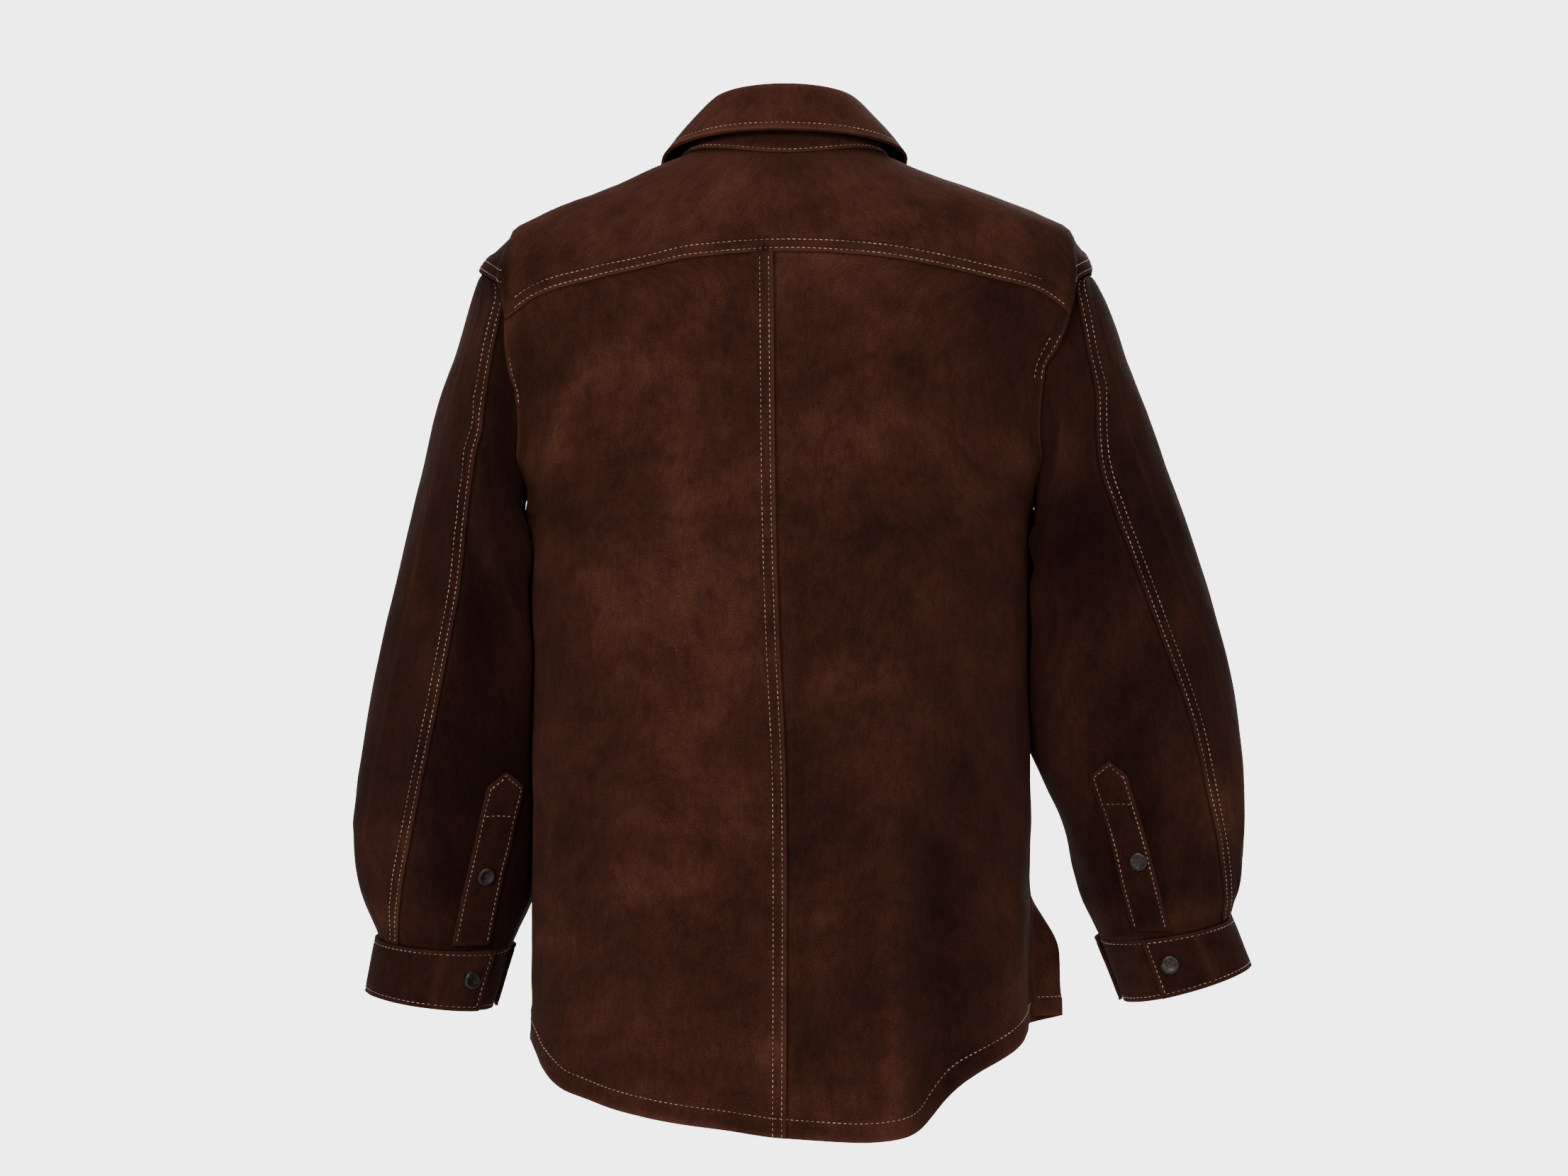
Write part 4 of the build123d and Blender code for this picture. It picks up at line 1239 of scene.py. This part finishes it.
def ring_point(oval, heights, angle, grow):
    half_width, back, front = oval
    x = half_width * np.cos(angle)
    y = (back + front) / 2 + (back - front) / 2 * np.sin(angle)
    outward = vec(x, y - (back + front) / 2, 0 * x)
    outward = outward / np.linalg.norm(outward, axis=-1, keepdims=True)
    return vec(x, y, ring_height(heights, angle)) + outward * grow


def neckline_point(angle, grow):
    half_width, back, front = NECKLINE
    x = half_width * np.cos(angle)
    y = (back + front) / 2 + (back - front) / 2 * np.sin(angle)
    low = np.full_like(x, -95.0)
    high = np.full_like(x, -1.0)
    for _ in range(24):
        middle = (low + high) / 2
        width, b, f = np.moveaxis(between(BODY_SECTIONS, middle), -1, 0)
        inside = np.abs(x / width) ** ROUNDNESS + np.abs((y - (b - f) / 2) / ((b + f) / 2)) ** ROUNDNESS < 1
        low = np.where(inside, middle, low)
        high = np.where(inside, high, middle)
    outward = vec(x, y - (back + front) / 2, 0 * x)
    outward = outward / np.linalg.norm(outward, axis=-1, keepdims=True)
    return vec(x, y, (low + high) / 2 + GAP) + outward * grow


def make_collar():
    start = math.radians(COLLAR_END_ANGLE)
    angle = mix(start, math.pi - start, grid_lines(430, 3.5, True, True))[:, None]
    v = grid_lines(46, 2.5, True, False)[None, :]
    low = neckline_point(angle[:, 0], 1.6)[:, None, :]
    fold = ring_point(FOLD_OVAL, FOLD_HEIGHTS, angle[:, 0], LEATHER)[:, None, :]
    base = mix(low, fold, v[..., None])
    outward = base * (1, 1, 0)
    panel = Panel(base, outward, 0.5 * noise(angle * 6, v * 3), [], [("v0", 2.6)])
    attach(panel_object("leather_collar_stand", panel, SUEDE), torso(), ["collar_stand"])
    rows = [panel.inset("v0", 2.6, 4, 4)]

    start = math.radians(LEAF_END_ANGLE)
    u = grid_lines(470, 3.5, True, True)
    angle = mix(start, math.pi - start, u)
    v = grid_lines(62, 2.5, False, True)
    fold = ring_point(FOLD_OVAL, FOLD_HEIGHTS, angle, 2 * LEATHER)[:, None, :]
    inside = ring_point(FOLD_OVAL, FOLD_HEIGHTS, angle, 0)[:, None, :]
    edge = ring_point(LEAF_OVAL, LEAF_HEIGHTS, angle, 2 * LEATHER)[:, None, :]
    t = v[None, :, None]
    point = mix(fold, edge, t)
    roll = smooth(0.22, 0.0, t)
    point = mix(point, mix(fold, inside, 0.45), roll * 0.55)
    point[..., 2] += 1.5 * np.sin(math.pi * t[..., 0])
    wave = 1.6 * noise(angle[:, None] * 1.7, v[None, :] * 1.2, 2.2) * smooth(0.2, 0.7, v)[None, :]
    panel = Panel(point, point * (1, 1, 0), wave, [], [("v1", 5.6), ("u0", 5.6), ("u1", 5.6)],
                  thickness=2.6)
    attach(panel_object("leather_collar_leaf", panel, SUEDE), torso(), ["collar_leaf"])
    rows += [panel.inset("v1", 5.6, 5, 5), panel.inset("u0", 5.6, 4, 5), panel.inset("u1", 5.6, 4, 5)]
    attach(stitch_object("stitches_collar", rows, THREAD), torso())


def make_hanger_loop():
    u = np.linspace(-1, 1, 33)
    v = np.linspace(0, 1, 7)
    drop = 22 * (1 - u ** 2)
    base = vec((16 * u)[:, None] + 0 * v, (49 - 5 * drop / 22)[:, None] + 0 * v,
               (20 - drop)[:, None] - 6 * v[None, :])
    panel = Panel(base, np.zeros_like(base) + (0, -1, 0), 0.2 * noise(u[:, None] * 4, v * 2))
    attach(panel_object("leather_hanger_loop", panel, SUEDE_INSIDE), torso(), ["hanger_loop"])


# ---------------------------------------------------------------- sleeves
def make_sleeve(table, side, hand, cuff, placket):
    front = math.radians(SLEEVE_FRONT_SEAM)
    rule = sleeve_rule(side)
    rows = []
    for part in ("top", "under"):
        u = grid_lines(200, 4.0, True, True, 1.5)
        v = grid_lines(560, 4.0, False, True)
        t = v[None, :] + 0 * u[:, None]
        seam = np.radians(sleeve_rows(table, t)[6])
        end = front if part == "top" else front + 2 * math.pi
        lap = 0.02 if part == "top" else 0.0
        angle = mix(seam + lap, end, u[:, None])
        base = sleeve_point(table, side, angle, t)
        centre = base.mean(axis=(0, 1))
        x0, z0, x1, z1, depth, middle_y, _ = sleeve_rows(table, t)
        axis = vec(side * (x0 + x1) / 2, middle_y, (z0 + z1) / 2)
        head = 1 - smooth(0.0, 0.05, t)
        folds = sleeve_folds(side, angle, t) + (body_folds(base) - 0.2) * head
        laps = [("u0", SLEEVE_ROWS)] if part == "top" else []
        # painted shadow along both seams of the under panel, where the top panel meets it
        shadowed_edges = [] if part == "top" else [("u0", 1.5), ("u1", 0.5)]
        panel = Panel(base, base - axis, folds, laps, tone=sleeve_tone_and_shading(side, angle, t, part),
                      shadowed_edges=shadowed_edges)
        piece = panel_object("leather_sleeve_%s_%s" % (part, hand), panel, SUEDE)
        attach(piece, rule, ["sleeve_%s_%s" % (part, hand)])
        if part == "top":
            rows += [panel.inset("u0", row, 14, 2) for row in SLEEVE_ROWS]
    attach(stitch_object("stitches_sleeve_" + hand, rows, THREAD), rule)
    make_placket(table, side, hand, placket)
    make_cuff(table, cuff, side, hand)


def make_placket(table, side, hand, placket):
    (x0, z0), (x1, z1), snap = placket
    u = grid_lines(2 * PLACKET_HALF_WIDTH, 2.0, False, False)
    v = grid_lines(130, 3.0, True, False)
    across = mix(-1, 1, u)[:, None]
    t = v[None, :]
    lift = PLACKET_POINT * (np.abs(across) - 1) * (1 - t)
    x = mix(x0, x1, t) + across * PLACKET_HALF_WIDTH
    z = mix(z0 - PLACKET_POINT, z1, t) - lift
    angle, place = sleeve_place(table, x, z)
    base = sleeve_point(table, side, angle, place, LEATHER + 0.5)
    folds = sleeve_folds(side, angle, place)
    # the placket is painted darker like the sleeve, as painted shade
    panel = Panel(base, np.zeros_like(base) + (0, 1, 0), folds + 0.3, [],
                  [("u0", 3.4), ("u1", 3.4), ("v0", 3.4)], tone=0.62)
    body = "sleeve_" + hand
    attach(panel_object("leather_sleeve_placket_" + hand, panel, SUEDE), ("ride", body),
           ["sleeve_placket_" + hand])
    strip = math.hypot(x1 - x0, z1 - z0)
    peak = PLACKET_POINT * (1 - np.abs(across[:, 0]))
    crossing, facing = panel.across(v, (PLACKET_CROSS_ROW + peak) / (strip + peak))
    rows = [panel.inset("u0", 3.0, 3, 1), panel.inset("u1", 3.0, 3, 1), panel.inset("v0", 3.0, 3, 3),
            (crossing[2:-2], facing[2:-2])]
    attach(stitch_object("stitches_placket_" + hand, rows, THREAD), ("ride", body))
    spot = nearest(panel, (side * snap[0], None, snap[1]))
    attach(snap_object("snap_placket_" + hand, [spot], METAL), ("ride", body),
           ["placket_snap_" + hand])


def cuff_point(table, cuff, side, angle, v, grow):
    x0, z0, x1, z1, depth, centre, _ = table[-1]
    x2, z2, x3, z3, _ = cuff
    point = ellipse_point(side, mix(x0, x2, v), mix(z0, z2, v) - GAP, mix(x1, x3, v),
                          mix(z1, z3, v) - GAP, depth, centre, angle, grow)
    point[..., 2] -= CUFF_DROOP * np.sin(angle)
    return point


def cuff_panel(table, cuff, side, start, end, grow, thickness, stitch_edges):
    arc = abs(math.radians(end - start)) * 50
    u = grid_lines(arc, 3.0, arc > 40, arc > 40)
    v = grid_lines(44, 2.5, True, True)
    angle = np.radians(mix(start, end, u))[:, None]
    t = v[None, :]
    base = cuff_point(table, cuff, side, angle + 0 * t, t + 0 * angle, grow)
    centre = cuff_point(table, cuff, side, angle * 0, t + 0 * angle, 0) / 2 + cuff_point(
        table, cuff, side, angle * 0 + math.pi, t + 0 * angle, 0) / 2
    folds = 1.1 * noise(angle * 2.4 + side, t * 1.1, 5.0) + 0.5 * noise(angle * 7, t * 4, 2.0)
    folds = folds * 0.8
    # the cuff pieces are painted darker like the sleeves, as painted shade
    return Panel(base, base - centre, folds, [], [(e, 3.2) for e in stitch_edges], thickness, 0.62)


def make_cuff(table, cuff, side, hand):
    tab_end = cuff[4]
    tab_start = tab_end - CUFF_TAB_ANGLE
    body = "sleeve_" + hand
    tab_body = "cuff_tab_" + hand
    band = cuff_panel(table, cuff, side, tab_start, -180, CUFF_THICKNESS + 0.6, CUFF_THICKNESS, ("v0", "v1"))
    attach(panel_object("leather_cuff_band_" + hand, band, SUEDE), ("ride", body), ["cuff_band_" + hand])
    under = cuff_panel(table, cuff, side, 186, tab_end - CUFF_LAP_ANGLE, -GAP, CUFF_THICKNESS, ("v0", "v1"))
    attach(panel_object("leather_cuff_under_end_" + hand, under, SUEDE_INSIDE), ("ride", body),
           ["cuff_under_end_" + hand])
    rows = [band.inset("v0", 3.0, 0, 1), band.inset("v1", 3.4, 0, 1),
            under.inset("v0", 3.0, 1, 2), under.inset("v1", 3.4, 1, 2)]
    attach(stitch_object("stitches_cuff_" + hand, rows, THREAD), ("ride", body))
    spot = nearest(under, tuple(cuff_point(table, cuff, side, math.radians(tab_end - CUFF_SNAP_ANGLE),
                                           0.5, -GAP)))
    attach(stud_object("stud_cuff_" + hand, [spot]), ("ride", body), ["cuff_snap_stud_" + hand])

    tab = cuff_panel(table, cuff, side, tab_start, tab_end, CUFF_THICKNESS + 0.6, CUFF_THICKNESS,
                     ("v0", "v1", "u1"))
    attach(panel_object("leather_cuff_tab_" + hand, tab, SUEDE), ("ride", tab_body), ["cuff_tab_" + hand])
    rows = [tab.inset("v0", 3.0, 1, 3), tab.inset("v1", 3.4, 1, 3), tab.inset("u1", 3.4, 3, 3)]
    attach(stitch_object("stitches_cuff_tab_" + hand, rows, THREAD), ("ride", tab_body))
    target = cuff_point(table, cuff, side, math.radians(tab_end - CUFF_SNAP_ANGLE), 0.5,
                        CUFF_THICKNESS + 0.6)
    spot = nearest(tab, tuple(target))
    attach(snap_object("snap_cuff_" + hand, [spot], METAL), ("ride", tab_body),
           ["cuff_snap_cap_" + hand])


# ---------------------------------------------------------------- stage and light
BACKGROUND_LEVEL = 4.5


def plain_material(name, colour):
    material, nodes, links, shader = new_material(name)
    shader.inputs["Base Color"].default_value = (*colour, 1)
    shader.inputs["Roughness"].default_value = 0.9
    return material


def make_stage():
    """A plain pale round floor under the jacket."""
    level = -0.93
    radius = 1.55
    sides = 96
    vertices = [(radius * math.cos(2 * math.pi * k / sides), radius * math.sin(2 * math.pi * k / sides), level)
                for k in range(sides)]
    mesh = bpy.data.meshes.new("stage")
    mesh.from_pydata(vertices, [], [tuple(range(sides))])
    mesh.materials.append(plain_material("stage", (0.88, 0.88, 0.88)))
    stage = bpy.data.objects.new("stage", mesh)
    bpy.context.collection.objects.link(stage)


def area_light(name, place, size, power, target=(0, 0, -0.35)):
    data = bpy.data.lights.new(name, "AREA")
    data.shape = "DISK"
    data.size = size
    data.energy = power
    light = bpy.data.objects.new(name, data)
    light.location = place
    aim = Vector(target) - Vector(place)
    light.rotation_euler = aim.to_track_quat("-Z", "Y").to_euler()
    bpy.context.collection.objects.link(light)


def make_lights():
    area_light("key", (0.9, 3.6, 1.3), 1.2, 165)
    area_light("fill", (-1.6, 3.2, 0.0), 2.0, 40)
    area_light("top", (0.2, 0.7, 2.4), 1.4, 60)
    area_light("front_key", (-1.3, -3.4, 1.2), 1.6, 150)
    area_light("front_fill", (1.6, -3.0, 0.2), 2.0, 50)
    world = bpy.data.worlds.new("studio")
    world.use_nodes = True
    nodes = world.node_tree.nodes
    links = world.node_tree.links
    soft = nodes["Background"]
    soft.inputs["Color"].default_value = (1, 1, 1, 1)
    soft.inputs["Strength"].default_value = 0.62
    seen = nodes.new("ShaderNodeBackground")
    seen.inputs["Color"].default_value = (1, 1, 1, 1)
    seen.inputs["Strength"].default_value = BACKGROUND_LEVEL
    path = nodes.new("ShaderNodeLightPath")
    choice = nodes.new("ShaderNodeMixShader")
    links.new(path.outputs["Is Camera Ray"], choice.inputs[0])
    links.new(soft.outputs[0], choice.inputs[1])
    links.new(seen.outputs[0], choice.inputs[2])
    links.new(choice.outputs[0], nodes["World Output"].inputs["Surface"])
    bpy.context.scene.world = world


make_back_panels()
make_back_yoke()
make_front_yokes()
make_fronts()
make_front_band()
make_front_facing()
make_collar()
make_hanger_loop()
make_sleeve(SLEEVE_LEFT, 1, "left", CUFF_LEFT, PLACKET_LEFT)
make_sleeve(SLEEVE_RIGHT, -1, "right", CUFF_RIGHT, PLACKET_RIGHT)
make_stage()
make_lights()
